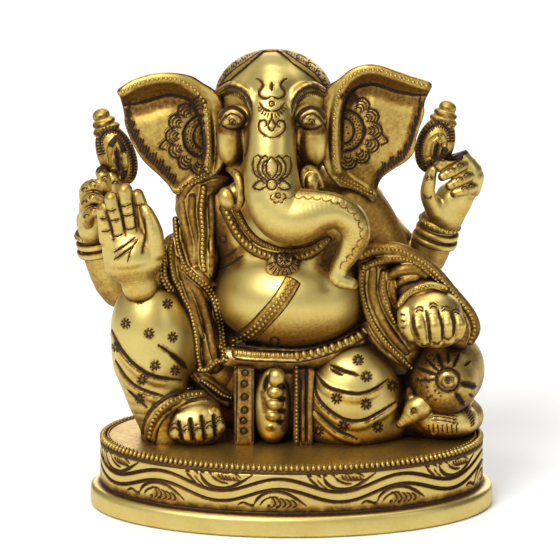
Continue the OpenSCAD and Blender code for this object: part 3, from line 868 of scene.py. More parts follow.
def make_vine():
    low, high = FLANGE_TOP + 0.5, PLATE_UNDER + 0.9
    rows = 48
    profile = [(-0.15, z) for z in np.linspace(low, high, rows)] + [(1.7, high), (1.7, low)]

    def relief(travel, total, profile_rows):
        wave = total / VINE_WAVES
        marks = vine_marks(wave)
        u = (travel - VINE_SHIFT + wave / 2) % wave - wave / 2
        grid = np.stack(np.meshgrid(u, profile_rows[:rows, 1], indexing="ij"),
                        -1).reshape(-1, 2).astype(F32)
        depth, dark = marks.press(grid)
        depth, dark = depth.reshape(len(u), rows), dark.reshape(len(u), rows)
        edge = np.minimum(profile_rows[:rows, 1] - low, high - profile_rows[:rows, 1])
        rounded = 0.5 * (1 - step(0, 0.7, edge))
        # Painted shade: the frieze darkens towards its foot, more in some stretches than others.
        foot = step(low + 3.4, low + 0.2, profile_rows[:rows, 1])
        waver = 0.5 + 0.5 * np.sin(travel * 0.83) * np.sin(travel * 0.37 + 1)
        patina_shade_mix = np.maximum(0.78 * dark, foot[None] * (0.40 + 0.4 * waver[:, None]) + 0.05)
        sink = np.zeros((len(u), len(profile_rows)))
        tone = np.full((len(u), len(profile_rows)), 0.8)
        sink[:, :rows] = depth + rounded
        tone[:, :rows] = np.maximum(patina_shade_mix, 0.8 * (1 - step(0, 0.5, edge)))
        return sink, tone

    v, quads, dark = oval_sweep(HALF_DRUM, profile, VINE_STEPS, relief)
    cast = Cast()
    cast.add(v, [quads], dark)
    cast.finish("plinth_vine_cast", POLISHED, "plinth_vine_frieze")


def make_plate():
    profile = [(9, 20.2), (0.5, 20.2), (0.2, 20.5), (0.15, 21.0), (0.35, 21.6), (1.4, 22.2), (2.9, 22.9),
               (3.4, 23.0), (5, 23.0), (9, 23.0)]
    v, quads, _ = oval_sweep(HALF_PLATE, profile, PLATE_STEPS)
    m = len(profile)
    rim = v.reshape(PLATE_STEPS, m, 3)[:, -1]
    core = v.reshape(PLATE_STEPS, m, 3)[:, 0]
    rings = np.linspace(1, 0, PLATE_RINGS + 1)[:-1]
    # The middle of the plate, above and below, as shrinking rings.
    extra, faces = [], []
    base = len(v)
    for which, ring in enumerate((rim, core)):
        first = (m - 1) if which == 0 else 0
        previous = np.arange(PLATE_STEPS) * m + first
        for r in rings[1:]:
            here = ring * [r, r, 1]
            index = base + np.arange(PLATE_STEPS)
            extra.append(here)
            quad = np.stack([previous, np.roll(previous, -1), np.roll(index, -1), index], -1)
            faces.append(quad if which == 0 else quad[:, ::-1])
            base += PLATE_STEPS
            previous = index
        extra.append(np.array([[0, 0, ring[0, 2]]]))
        fan = np.stack([previous, np.roll(previous, -1), np.full(PLATE_STEPS, base)], -1)
        faces.append(fan if which == 0 else fan[:, ::-1])
        base += 1
    # The side of the profile's own loop that would cross the middle is left out.
    keep = (quads[:, 0] % m) != m - 1
    cast = Cast()
    everything = np.vstack([v] + extra)
    up = np.repeat([[0.0, 0.0, 1.0]], len(everything), 0)
    # The top carries painted shade where the figure crowds it, over an even tone; the rows below the top are
    # darker.
    tone = np.where(everything[:, 2] > 22, 0.22 * shade(everything, up) + 0.20, 0.7)
    cast.add(everything, [quads[keep]] + faces, np.clip(tone, 0, 1))
    cast.finish("plinth_plate_cast", POLISHED, "plinth_top_plate")


def make_rim():
    """A roll of beads round the plate, pinched between each two, with a fine inner row."""
    cast = Cast()
    for inset, z, pitch, size in ((1.15, 22.35, 1.75, (0.82, 1.25, 1.25)),
                                  (2.75, 22.95, 1.75, (0.42, 0.55, 0.4))):
        half = HALF_PLATE - inset
        total = oval_places(half, 1)[2]
        a = oval_places(half, int(total / pitch))[0]
        points = np.column_stack([half[0] * np.cos(a), half[1] * np.sin(a), np.full(len(a), z)])
        ways = np.gradient(points, axis=0)
        ways[0], ways[-1] = points[1] - points[-1], points[0] - points[-2]
        out = np.cross(ways, [0, 0, 1.0])
        out = out / np.linalg.norm(out, axis=1)[:, None] * 0.6 + [0, 0, 0.8]
        beads(cast, points, ways, out, size)
    cast.finish("plinth_rim_cast", POLISHED, "plinth_bead_rim")


# ---------------------------------------------------------------- forms of the figure

HEAD_X = -5.8
torso = join(
    5,
    ball((0, 4, 71), (26.5, 24, 18.5)),
    ball((-1, 9, 90), (28, 17, 19)),
    ball((-1, 13, 40), (33, 18.5, 23)),
    limb([(-23, 8, 99), (-4, 9, 103), (22, 8, 99)], [8.5, 10.5, 8.5]),
    ball((-2.5, -2, 36), (13, 9.5, 13)),
    limb([(16, 10, 56), (24, 8, 58), (29, 8, 62)], 9),
)
lap = limb(seen([(-20, 47.4, -5), (-9, 46.6, -6.6), (3, 46.6, -6.6), (12, 48.6, -5.6), (22, 53.2, -3)]),
           [3.6, 4.0, 4.0, 3.6, 3.0])
torso = join(2.5, torso, lap)
skull = join(4, ball((HEAD_X, 3, 136), (18.7, 17, 15.2)), ball((HEAD_X, 2, 122), (17.6, 15, 19)))
trunk_line = seen([
    (-6.6, 137, -5), (-6.8, 131, -9.6), (-7.0, 120, -14.6), (-7.0, 110, -18), (-5.6, 99.0, -20.5),
    (-1.4, 93.6, -22), (3.4, 93.4, -23), (8.4, 94.6, -24), (14.0, 94.8, -24), (18.6, 92.2, -23.5),
    (20.6, 87.4, -23), (18.4, 81.6, -22.5), (15.4, 76.6, -22.5), (15.4, 72.8, -23), (19.6, 71.2, -23.2),
])
trunk_widths = [5, 7.4, 8.3, 8.6, 9.4, 9.6, 8.8, 6.9, 5.7, 5.4, 4.8, 3.8, 2.9, 2.7, 2.0]
trunk = limb(trunk_line, trunk_widths)
cheeks = [ball(spot(FACE_S + side * 13.3, 117.5, -9.5), (4.6, 4.5, 8.2)) for side in (-1, 1)]
lids = [ball(spot(FACE_S + side * 12.9, 125.0, -12.2), (4.9, 3.4, 3.7), (0, side * 6, side * 18))
        for side in (-1, 1)]
sockets = [ball(spot(FACE_S + side * 12.6, 125.6, -15.5), (6.0, 3.6, 4.8)) for side in (-1, 1)]
brows = [limb(seen([(FACE_S + side * s, t, y)
                    for s, t, y in ((5.4, 126, -14.4), (7.6, 132, -13), (12.5, 135.2, -10),
                                    (17.6, 133, -5))]), [1.2, 1.6, 1.8, 1.2])
         for side in (-1, 1)]
face = join(1.2, join(2.0, less(2.5, join(3, skull, trunk), *sockets), *brows, *cheeks), *lids)
right_thigh = join(
    5,
    ball((-46.3, -4, 59.2), (12.8, 13, 18.8)),
    limb([(-46, -5, 48), (-44, -5, 38), (-41.5, -4, 28), (-41, -4, 22)], [11.4, 10, 8.4, 8.4]),
    limb([(-42, 2, 58), (-32, 8, 50), (-20, 11, 43)], [12, 12.5, 13]),
)
left_thigh = join(
    4,
    ball((20.5, -2.5, 38.2), (15.4, 13.5, 17.4)),
    limb([(4, 2, 35), (14, -2, 35), (24, -2, 33)], [11, 12.6, 12.4]),
    limb([(8, -4, 27), (20, -6, 26), (31, -3, 27)], [7, 8, 6.5]),
    limb([(8, 8, 45), (22, 8, 44), (30, 8, 42)], [12, 13, 10]),
)
bolster = join(2.5, ball((50, 4, 44), (13.2, 15, 13.6)),
               limb([(50, -6.5, 42.5), (50, 14, 42.5)], [10.6, 11.5]), ball((41, 7, 42), (9, 9, 12)))
rear_right_line = seen([(-22, 94, 18), (-34, 81, 20), (-46, 71.5, 19), (-56, 70.5, 17), (-62.6, 82, 15),
                        (-65, 92, 14)])
rear_right_arm = limb(rear_right_line, [8.5, 8.5, 8, 7.2, 6, 5.4])
rear_left_line = seen([(12, 100, 18), (26, 90, 20), (36, 80, 19), (42.5, 79.5, 17), (47.2, 87, 15),
                       (49.6, 95, 14)])
rear_left_arm = limb(rear_left_line, [8.5, 8.5, 8, 7.2, 6.2, 5.4])
front_right_line = seen([(-24, 98, 8), (-30, 89, 7), (-35.5, 79, 5), (-43, 73.5, -3), (-50.6, 76.5, -10.5)])
front_right_arm = limb(front_right_line, [8.0, 7.2, 6.0, 5.6, 6.2])
front_left_line = seen([(20, 99.5, 7), (26.5, 91, 6), (31, 81, 3), (37, 73, -3), (43, 67, -9)])
front_left_arm = limb(front_left_line, [8.6, 8.0, 7.8, 7.2, 6.6])


def make_torso():
    marks = Marks()
    marks.ring((-22.6, 85.8), 1.2, 0.6, 0.45)
    marks.ring((-5.5, 52.5), 1.35, 0.9, 0.8)
    marks.line([(-25, 79), (-21, 80.6), (-17.9, 82.8)], 0.9, 0.5)
    marks.line([(-25, 75.6), (-20.4, 77.8), (-15.9, 80.6)], 0.9, 0.5)
    marks.line([(-10, 50.6), (-5.5, 50.4), (0, 50.8)], 0.7, 0.3)
    marks.dot((-1.6, 51.5), 0.7)
    marks.dot((1.4, 51.6), 0.6)
    # The broad patches are painted shade: under the ears and the trunk, beside the arms, under the necklace
    # and along the belt.
    marks.shade_and_patina_patch([(-19, 45), (-8, 44), (4, 44), (12, 46)], 6.5, 0.5)
    marks.shade_and_patina_patch([(-30, 104), (-24, 100), (-17, 95)], 15, 0.42)
    marks.shade_and_patina_patch([(14, 104), (23, 99), (30, 90), (31, 84)], 15, 0.5)
    marks.shade_and_patina_patch([(2, 84), (9, 85), (14, 83), (12, 78)], 13, 0.62)
    marks.shade_and_patina_patch([(-24, 92), (-22, 84), (-18, 79)], 9, 0.5)
    marks.shade_and_patina_patch([(-20, 80), (-13, 84), (-4, 82), (6, 84)], 6, 0.4)
    marks.shade_and_patina_patch([(-16, 52), (-4, 51.4), (10, 53), (22, 58)], 5, 0.5)
    marks.shade_and_patina_patch([(25, 74), (27.5, 64), (25, 57)], 8, 0.5)
    form_piece(POLISHED, "torso", seated(torso), PLAIN, marks)


def make_back_shawl():
    sheet = join(3, ball((-1, 14, 84), (30.5, 16.5, 27)),
                 limb([(-24, 12, 104), (-2, 14, 108), (20, 12, 104)], 6))
    folds = [
        limb(onto(sheet, [(s * 1.25 - 1, 112 - 0.05 * s * s), (s * 1.05 - 1, 92), (s * 0.9 - 1, 72),
                          (s * 0.8 - 1, 60)], -0.2, True), [0.8, 1.1, 1.2, 0.8])
        for s in np.arange(-20, 21, 5.0)
    ]
    hem_marks = [(-26, 74), (-16, 66.5), (-1, 64), (14, 66.5), (24, 74)]
    hem = limb(onto(sheet, hem_marks, 0.1, True), 1.5)
    cloth = both(0.6, join(1.4, sheet, *folds, hem),
                 lambda p: np.maximum(15.5 - p[:, 1], 58.5 - p[:, 2] + 0.011 * (p[:, 0] + 1) ** 2))

    def extra(cast):
        bead_row(cast, cloth, [(-25, 76.5), (-16, 69), (-1, 66.5), (14, 69), (23, 76.5)], 1.5, 0.62, 0.1,
                 back=True)

    back = Marks()
    for s in np.arange(-17.5, 18, 5.0):
        back.line([(s * 1.2 - 1, 108), (s * 1.0 - 1, 90), (s * 0.86 - 1, 72), (s * 0.8 - 1, 62)], 1.0, 0.5)
    form_piece(ANTIQUED, "back_shawl", cloth, PLAIN, None, extra=extra, back_marks=back, tone=0.16)


def face_marks():
    """One half of the face about its middle; the other half is its mirror image."""
    m = FACE_S
    marks = Marks()

    def half(points, width, depth):
        marks.line([(m + s, t) for s, t in points], width, depth)

    # Brow arc, hair strokes under it, upper lid and pupil.
    half([(6.4, 126.6), (7.2, 130.4), (9.6, 133.6), (13.4, 134.9), (17.2, 133.0)], 0.95, 0.6)
    marks.hatch([(m + 8.6, 129.4), (m + 10.8, 131.4), (m + 13.6, 132.2), (m + 16.6, 131.2)], 1.7, 0.62, -12,
                0.3, 0.25)
    half([(7.6, 122.6), (8.6, 126.0), (11.8, 128.3), (15.2, 127.6), (17.2, 124.8)], 1.1, 0.7)
    half([(8.8, 122.4), (10.4, 125.2), (13.0, 126.3), (15.6, 124.8), (16.8, 122.6)], 0.6, 0.4)
    half([(8.6, 122.3), (11.0, 121.3), (14.0, 121.4), (16.6, 122.6)], 0.9, 0.5)
    marks.ring((m + 12.8, 123.6), 0.95, 0.45, 0.35)
    # Edge of the cheek against the trunk.
    half([(8.0, 124.4), (7.7, 119.0), (8.4, 113.6), (10.6, 109.6)], 0.75, 0.55)
    # Trident, then a bead in a crescent with rays.
    half([(4.9, 137.7), (3.6, 136.8), (3.0, 135.3), (4.3, 133.4), (3.9, 131.9), (2.0, 131.1), (0, 131.9)],
         0.75, 0.5)
    half([(0, 126.9), (2.4, 127.6), (4.2, 129.8)], 0.65, 0.45)
    for k in range(6):
        a = math.radians(-87 + 13 * k)
        marks.line([(m + 3.7 * math.cos(a), 129.9 + 3.6 * math.sin(a)),
                    (m + 5.2 * math.cos(a), 129.9 + 5.2 * math.sin(a))], 0.34, 0.35, 1)
    # A sprig with scrolled leaves.
    half([(0.2, 118.4), (2.4, 119.2), (4.4, 121.4), (4.0, 123.7), (2.3, 124.0), (1.7, 122.6), (2.7, 121.9)],
         0.6, 0.45)
    half([(0.1, 120.4), (1.1, 122.4), (0, 124.9)], 0.5, 0.4)
    # Lotus.
    half([(0, 112.4), (1.7, 110.2), (1.7, 107.6), (0, 105.0)], 0.6, 0.45)
    half([(1.6, 111.4), (3.0, 109.6), (2.9, 107.2), (0.8, 104.9)], 0.55, 0.45)
    half([(3.0, 112.0), (4.5, 109.8), (4.2, 106.8), (1.6, 104.7)], 0.6, 0.45)
    half([(5.9, 112.2), (6.3, 109.2), (5.2, 106.2), (2.0, 104.5)], 0.6, 0.45)
    half([(1.4, 112.0), (2.4, 112.6), (3.4, 111.8), (4.6, 112.7), (5.9, 112.2)], 0.45, 0.35)
    half([(1.8, 103.2), (3.8, 104.6), (6.2, 102.6), (4.0, 101.7), (1.8, 102.6)], 0.6, 0.45)
    # Painted shade under the eyes, along the cheeks' edge against the trunk, down the sides of the face and
    # faintly on the cheeks.
    marks.shade_and_patina_patch([(m + 9.5, 120.5), (m + 13, 120.2), (m + 16.8, 121.0)], 3.4, 0.42)
    marks.shade_and_patina_patch([(m + 7.6, 123.0), (m + 7.9, 116.0), (m + 9.5, 108.0)], 3.4, 0.34)
    marks.shade_and_patina_patch([(m + 18.2, 134), (m + 18.8, 124), (m + 18.2, 110)], 4.2, 0.42)
    marks.shade_and_patina_patch([(m + 12.5, 118), (m + 13.0, 110)], 7, 0.20)
    marks.mirrored(m)
    marks.line([(m, 136.6), (m, 133.6)], 0.85, 0.6, 2)
    marks.ring((m, 129.5), 0.8, 0.5, 0.4)
    marks.ring((m, 103.3), 1.7, 0.6, 0.45)
    return marks


def make_head():
    """The head and the trunk are one skin, with the trunk's chased border along its outer side."""
    marks = face_marks()
    edge = [(-1.5, 101.5), (4, 101.4), (9, 101.0), (14.2, 99.8), (18.6, 97.8), (22.0, 95.0), (24.1, 91.2),
            (24.6, 87.2), (23.3, 83.4), (20.9, 79.8), (17.8, 76.2)]
    inner = [(-0.8, 99.9), (4, 99.7), (8.8, 99.3), (13.6, 98.2), (17.6, 96.3), (20.5, 93.8), (22.4, 90.6),
             (22.9, 87.2), (21.8, 83.9), (19.5, 80.6), (16.8, 77.4)]
    marks.line(edge, 0.36, 0.11)
    marks.scallops(inner, 3.0, -1.0, 0.42, 0.13)
    marks.hatch(inner, 1.3, 1.0, 0, 0.3, 0.06)
    # A small flower with two curls where the trunk turns.
    marks.ring((-4.4, 99.8), 0.8, 0.42, 0.25)
    for a in (200, 250, 300, 350):
        c, d = math.cos(math.radians(a)), math.sin(math.radians(a))
        marks.ring((-4.4 + 1.8 * c, 99.8 + 1.8 * d), 0.8, 0.4, 0.2, a - 100, a + 100)
    # Painted shade along the underside of the trunk and the outer side of its curl.
    marks.shade_and_patina_patch([(-12.5, 88), (-4.0, 84.6), (4.0, 85.2), (10.6, 89.4), (14.6, 88.6), (14.6, 82.6),
                 (12.4, 76.6)], 4.4, 0.36)
    marks.shade_and_patina_patch([(24.2, 88), (21.4, 80), (18.6, 75.6)], 3.0, 0.30)
    form_piece(POLISHED, "head", face, 0.31, marks, pad=6, others=("trunk",))


def make_hair_cap():
    shell = join(4, ball((HEAD_X, 3, 136), (19.3, 17.6, 15.8)), ball((HEAD_X, 3, 124), (18.2, 15.4, 19)))
    arch = outline([(-6.9, 148.5), (-5.0, 147.4), (1.5, 142.0), (6.5, 138.4), (10.2, 134.3), (13.0, 128),
                    (14.5, 110), (-6.8, 104), (-27.5, 110), (-26.4, 128), (-23.4, 134.6), (-20.2, 137.3),
                    (-15.1, 141.4), (-8.8, 147.2)], 3)

    def cap(p):
        front = np.maximum(-arch(picture(p)), -2.0)
        front = np.where(p[:, 1] > 4.0, -2.0, front)
        return np.maximum(np.maximum(shell(p), front), np.maximum(118 - p[:, 2], -p[:, 1] * 0.3 - 3.5))

    marks = Marks()
    for side in (-1, 1):
        edge = [(FACE_S + side * s, t) for s, t in ((2.2, 148.0), (8.6, 143.4), (14.0, 139.4),
                                                    (17.4, 135.2))]
        marks.line(edge, 0.45, 0.4)
        for k, (s, t) in enumerate(((5.6, 147.2), (9.0, 144.9), (12.2, 142.4), (15.0, 139.6),
                                    (17.2, 136.4))):
            centre = (FACE_S + side * s, t)
            marks.ring(centre, 1.05, 0.4, 0.35, 20 * k, 20 * k + 250, 0.7)
            marks.line([(centre[0] + side * 1.2, t + 0.4), (centre[0] + side * 2.2, t - 0.6)], 0.4, 0.3, 1)
            marks.line([(centre[0] - side * 0.6, t + 0.9), (centre[0] + side * 0.2, t + 1.8)], 0.4, 0.3, 1)
    marks.hatch([(FACE_S + 3.4, 147.5), (FACE_S + 9.6, 143.4), (FACE_S + 15, 139.2)], 1.0, 0.9, 20, 0.3,
                0.25)
    marks.hatch([(FACE_S - 3.4, 147.5), (FACE_S - 9.6, 143.4), (FACE_S - 15, 139.2)], -1.0, 0.9, -20, 0.3,
                0.25)
    back = Marks()
    for row in range(6):
        t = 146 - 5.2 * row
        reach = 17.5 * math.sqrt(max(0.05, 1 - ((t - 127) / 22) ** 2))
        for s in np.arange(-reach + 2, reach - 1, 3.6):
            middle = (HEAD_X + s + 1.8 * (row % 2), t)
            back.ring(middle, 1.5, 0.5, 0.4, 0, 300)
            back.dot(middle, 0.5, 0.3)
    form_piece(ANTIQUED, "hair_cap", cap, 0.32, marks, back_marks=back, tone=0.18)


def make_eyes():
    eyes = [ball(spot(FACE_S + side * 12.8, 123.7, -13.3), (3.5, 2.3, 1.45), (0, side * 4, side * 20))
            for side in (-1, 1)]
    pupils = [ball(spot(FACE_S + side * 12.8, 123.7, -15.4), (0.55, 0.7, 0.55)) for side in (-1, 1)]
    marks = Marks()
    for side in (-1, 1):
        marks.ring((FACE_S + side * 12.8, 123.7), 1.15, 0.5, 0.4)
    form_piece(POLISHED, "eyes", join(0.1, *eyes, *pupils), 0.25, marks, pad=3)


EARS = {
    "right_ear": {
        "side": -1,
        "edge": [(-56.2, 133.6), (-52.8, 136.4), (-47.8, 138.4), (-42.8, 139.4), (-37.8, 139.5),
                 (-32.7, 138.7), (-28.7, 136.4), (-24.0, 133.0), (-21.6, 126), (-21.4, 114), (-23.6, 107.6),
                 (-28.7, 104.8), (-32.7, 102.8), (-37.6, 100.4), (-40.3, 103.6), (-42.8, 106.2),
                 (-45.8, 108.9), (-48.3, 111.4), (-50.8, 115.2), (-52.8, 119.2), (-54.2, 123.4),
                 (-54.4, 126.4), (-55.0, 129.4)],
        "fold": [(-56.4, 129.0), (-50.3, 129.8), (-46.3, 130.8), (-40.3, 132.5), (-36.7, 132.1),
                 (-33.2, 130.9), (-31.2, 127.6), (-29.4, 123.2), (-28.5, 118.7), (-28.4, 113.2),
                 (-29.6, 108.6), (-33.6, 105.0), (-38.4, 102.2), (-47, 107), (-57, 119)],
        "rim": [(-54.6, 133.5), (-51.3, 135.4), (-47.8, 136.8), (-44, 137.6), (-40.3, 137.8),
                (-36.7, 137.3), (-34.2, 136.1), (-31.7, 134.3), (-29.7, 132.3), (-28.2, 129.8),
                (-27.4, 126.3), (-27.1, 121.2), (-26.9, 116.2), (-27.2, 111.7), (-27.6, 108.6)],
        "wheel": (-28.2, 119.2),
        "outer": [(-53.6, 127.4), (-53.4, 123.2), (-52.0, 119.2), (-49.9, 115.6), (-47.4, 112.2),
                  (-44.2, 109.4), (-41.4, 106.4), (-38.8, 103.4)],
        "foot": [(-36.8, 102.0), (-31.6, 104.6), (-26.4, 107.6)],
    },
    "left_ear": {
        "side": 1,
        "edge": [(45.6, 135.4), (40.9, 137.4), (35.9, 139.0), (30.8, 141.0), (26.8, 142.0), (23.3, 142.0),
                 (19.3, 140.7), (15.8, 138.0), (11.0, 134.4), (9.4, 126), (9.2, 114), (11.6, 107.0),
                 (15.3, 103.0), (18.3, 102.4), (23.3, 100.4), (27.2, 97.8), (27.8, 102.2), (29.4, 105.8),
                 (33.4, 108.8), (37.4, 111.3), (39.9, 114.4), (40.4, 118.2), (41.6, 122.2), (43.0, 126.4),
                 (43.2, 130.4)],
        "fold": [(46, 132.6), (40.4, 132.7), (36.4, 133.2), (32.4, 134.2), (28.3, 135.7), (25.8, 136.0),
                 (21.8, 135.3), (19.0, 133.2), (17.2, 129.6), (16.4, 124), (16.3, 118.2), (16.4, 112),
                 (18.6, 107.0), (23.4, 103.6), (28.6, 100.6), (36, 107), (44.6, 116)],
        "rim": [(43.6, 135.3), (38.9, 136.7), (34.9, 138.1), (31.3, 139.3), (28.3, 140.3), (24.8, 140.6),
                (21.3, 139.7), (17.9, 137.3), (15.7, 134.3), (14.6, 129.8), (13.8, 125.3), (13.5, 119.2),
                (13.8, 113.2), (14.6, 108.2)],
        "wheel": (16.6, 121.0),
        "outer": [(42.2, 129.0), (41.4, 124.6), (40.0, 120.6), (38.8, 116.0), (36.4, 112.0), (32.4, 109.0),
                  (29.0, 106.0), (27.6, 101.4)],
        "foot": [(26.6, 100.2), (21.6, 102.6), (15.8, 105.4)],
    },
}


def ear_form(ear):
    """A sheet of even thickness that curves towards the viewer outside its fold, and its rolled lip."""
    edge, fold = outline(ear["edge"]), outline(ear["fold"])

    def blade(p):
        mark = picture(p)
        out = step(-0.6, 5.4, fold(mark))
        bulge = 2.2 * step(0, 9, -fold(mark))
        middle = 2.0 - 6.6 * out - bulge
        sheet = (np.abs(p[:, 1] - middle) - 1.5) * 0.55
        return np.maximum(edge(mark) * 0.8, sheet)

    lip = limb(seen([(s, t, -5.0) for s, t in ear["rim"]]), 1.75)
    return join(1.0, blade, lip)


def make_ear(name):
    ear = EARS[name]
    side = ear["side"]
    form = ear_form(ear)
    marks = Marks()
    marks.line(ear["fold"][:11 if side < 0 else 12], 1.2, 0.9)
    c0, c1 = ear["wheel"]
    middle = 180 if side < 0 else 0
    marks.ring((c0, c1), 3.5, 0.9, 0.6, middle - 85, middle + 85, 1.2)
    marks.ring((c0, c1), 6.8, 1.1, 0.75, middle - 85, middle + 85)
    for k in range(15):
        a = math.radians(middle - 84 + 12 * k)
        for r in (4.7, 5.6):
            marks.dot((c0 + r * math.cos(a + 0.1 * (r > 5)), c1 + 1.08 * r * math.sin(a + 0.1 * (r > 5))),
                      0.45, 0.35)
    marks.dot((c0 + side * 1.2, c1 + 1.2), 0.6, 0.4)
    marks.dot((c0 + side * 1.6, c1 - 0.8), 0.6, 0.4)
    # Seven petals of nested arcs round the half wheel, with a pointed one in the middle.
    for k in range(7):
        a = middle + (k - 3) * 26.5
        c, d = math.cos(math.radians(a)), math.sin(math.radians(a))
        for radius, reach, width, deep in ((2.45, 10.2, 0.75, 0.6), (1.8, 9.7, 0.45, 0.4),
                                           (1.3, 9.0, 0.45, 0.4), (0.9, 8.3, 0.4, 0.35)):
            marks.ring((c0 + reach * c, c1 + reach * d), radius, width, deep, a - 88, a + 88)
    marks.line([(c0 + side * 12.2, c1 - 0.6), (c0 + side * 14.6, c1 - 3.4), (c0 + side * 12.4, c1 - 4.6)],
               0.75, 0.55)
    points, _ = along(ear["outer"], 1.05)
    for k, (s, t) in enumerate(points):
        reach = 3.2 + 0.9 * math.sin(2.1 * k)
        lean = (0.34, 0.94) if side < 0 else (-0.15 + 0.05 * (k % 3), 0.98)
        marks.line([(s, t), (s + 0.5 * reach * lean[0] - 0.2 * side, t + 0.5 * reach * lean[1]),
                    (s + reach * lean[0], t + reach * lean[1])], 0.62, 0.5, 3)
    # Painted shade under the rolled fold; the patch along the outer border darkens the stroked edge.
    marks.shade_and_patina_patch([(s - side * 1.2, t + 0.4) for s, t in ear["outer"]], 5.0, 0.5)
    marks.shade_and_patina_patch([(s, t - 2.4) for s, t in ear["fold"][:9]], 6.0, 0.45)
    cut = less(0.3, form, lambda p: skull(p) + 0.8)
    form_piece(ANTIQUED, name, cut, 0.34, marks, pad=14, tone=0.12)

    cast = Cast()
    bead_row(cast, form, ear["rim"], 1.5, (0.62, 0.62, 0.5), 0.05)
    bead_row(cast, form, ear["foot"], 1.2, (0.5, 0.5, 0.4), 0.05, rows=2, gap=1.15)
    cast.finish(f"{name}_border_cast", POLISHED, f"{name}_border")


def make_tusks():
    """A whole tusk on the figure's right and a short one in an arched socket on its left."""
    right = join(
        0.5,
        ball(spot(-20.9, 99.0, -16.5), (2.9, 3.4, 3.9), (0, -14, 0)),
        limb(seen([(-15.0, 103.0, -12), (-18.2, 101.0, -15)]), 3.0),
        limb(seen([(-20.6, 108.6, -13), (-17.8, 106.6, -17), (-16.4, 102.5, -19), (-16.4, 98.5, -19),
                   (-17.8, 95.0, -17)]),
             [0.9, 1.4, 1.6, 1.4, 0.8]),
    )
    form_piece(POLISHED, "right_tusk", right, 0.34, None, pad=7)
    socket = limb(seen([(3.2, 102.5, -15), (3.4, 107.0, -14), (5.4, 109.0, -13.5), (8.0, 107.4, -13),
                        (9.6, 102.5, -12)]), 1.1)
    left = limb(seen([(6.4, 108.0, -10), (6.3, 105.0, -14.5), (6.2, 102, -16)]), [2.2, 2.3, 1.8])
    form_piece(POLISHED, "left_tusk", join(0.4, left, socket), 0.34, None, pad=9)


# ---------------------------------------------------------------- legs and dress

def make_right_leg():
    marks = Marks()
    fold = [(-58.6, 56.3), (-55.3, 49.8), (-50.4, 44.6), (-44, 41.2), (-35.7, 40)]
    second = [(-57.4, 46.4), (-54.2, 41.2), (-50.4, 37.8), (-45.9, 35.9), (-41.8, 34.8)]
    third = [(-53.5, 36.9), (-50.4, 34), (-47.1, 31)]
    for line, width, deep in ((fold, 1.15, 0.9), (second, 1.1, 0.8), (third, 0.9, 0.7)):
        marks.line(line, width, deep)
    marks.line([(-43.2, 51.4), (-38.8, 48.4), (-34.4, 44.4)], 0.9, 0.8)
    marks.line([(-39.6, 48.8), (-36.8, 46.6), (-34.2, 43.8)], 1.5, 1.1)
    for centre in ((-49.3, 66.4), (-40.3, 64.9), (-54, 58.5), (-46.3, 55.3), (-38.6, 54), (-44.4, 44.8),
                   (-37.8, 43.1), (-48.6, 40), (-57.2, 50.8), (-49.5, 34)):
        marks.flower(centre)
    ridges = [strand(right_thigh, [(s, t - 1.5) for s, t in line], size, -0.5)
              for line, size in ((fold, [0.6, 1.2, 1.4, 1.3, 0.7]), (second, [0.5, 1.0, 1.1, 1.0, 0.6]))]
    form_piece(POLISHED, "right_leg", seated(join(1.6, right_thigh, *ridges)), 0.38, marks)


def make_left_leg():
    marks = Marks()
    first = [(7.7, 42.4), (10.9, 38.5), (14.8, 36.8), (21.3, 35.7), (26.7, 37.1), (31.4, 40.4)]
    second = [(7.1, 39.3), (8.5, 34.4), (11.8, 30.6), (17.2, 27.3), (22.7, 26.8), (28.1, 29.2), (34.1, 33)]
    third = [(7.2, 30.4), (11.8, 26.2), (15.8, 23.2), (21.3, 20.8)]
    for line in (first, second, third):
        marks.line(line, 1.1, 0.9)
    marks.line([(12.6, 45), (16.9, 43.1), (22.1, 41.5)], 1.2, 0.9)
    marks.line([(12.6, 43.6), (16.4, 41.5)], 0.9, 0.7, 3)
    for centre in ((21.8, 46.6), (24.4, 41.2), (33, 38.2), (24.2, 32.2), (16.9, 25), (28.1, 24.6),
                   (8.6, 23.2), (14.6, 34)):
        marks.flower(centre, 1.1, 9)
    ridges = [strand(left_thigh, [(s, t - 1.5) for s, t in line], size, -0.5)
              for line, size in ((first, [0.8, 1.1, 1.3, 1.4, 1.2, 0.6]),
                                 (second, [0.6, 0.9, 1.2, 1.4, 1.4, 1.1, 0.6]), (third, [0.6, 1, 1, 0.5]))]
    form_piece(POLISHED, "left_leg", seated(join(1.6, left_thigh, *ridges)), 0.38, marks)


def make_right_foot():
    arch = ball(spot(-31.2, 25.4, -9), (9.6, 7.5, 8.2))
    toes = []
    marks = Marks()
    for k, (s, t) in enumerate(((-38.2, 22.3), (-34.1, 21.8), (-30.2, 22.2), (-26.6, 23.0), (-23.4, 24.6))):
        toes.append(limb(seen([(s * 0.8 - 6.4, t + 5.5, -12.5), (s, t, -14.0 + 0.25 * abs(k - 2) ** 2)]),
                         [1.7, 1.9]))
        marks.ring((s, t + 0.9), 1.25, 0.4, 0.3, 20, 160)
        marks.ring((s, t + 2.2), 1.3, 0.35, 0.25, 30, 150)
    for s, t, u, w in ((-36.9, 26.3, -35.8, 20.4), (-33.2, 27.4, -32.0, 20.2), (-29.3, 28.2, -28.2, 20.4),
                       (-25.6, 28.4, -24.7, 21.4)):
        marks.line([(s, t), ((s + u) / 2, (t + w) / 2), (u, w)], 1.0, 1.2, 3, False)
    form_piece(POLISHED, "right_foot", seated(join(1.2, arch, join(0.3, *toes))), 0.3, marks, pad=6)


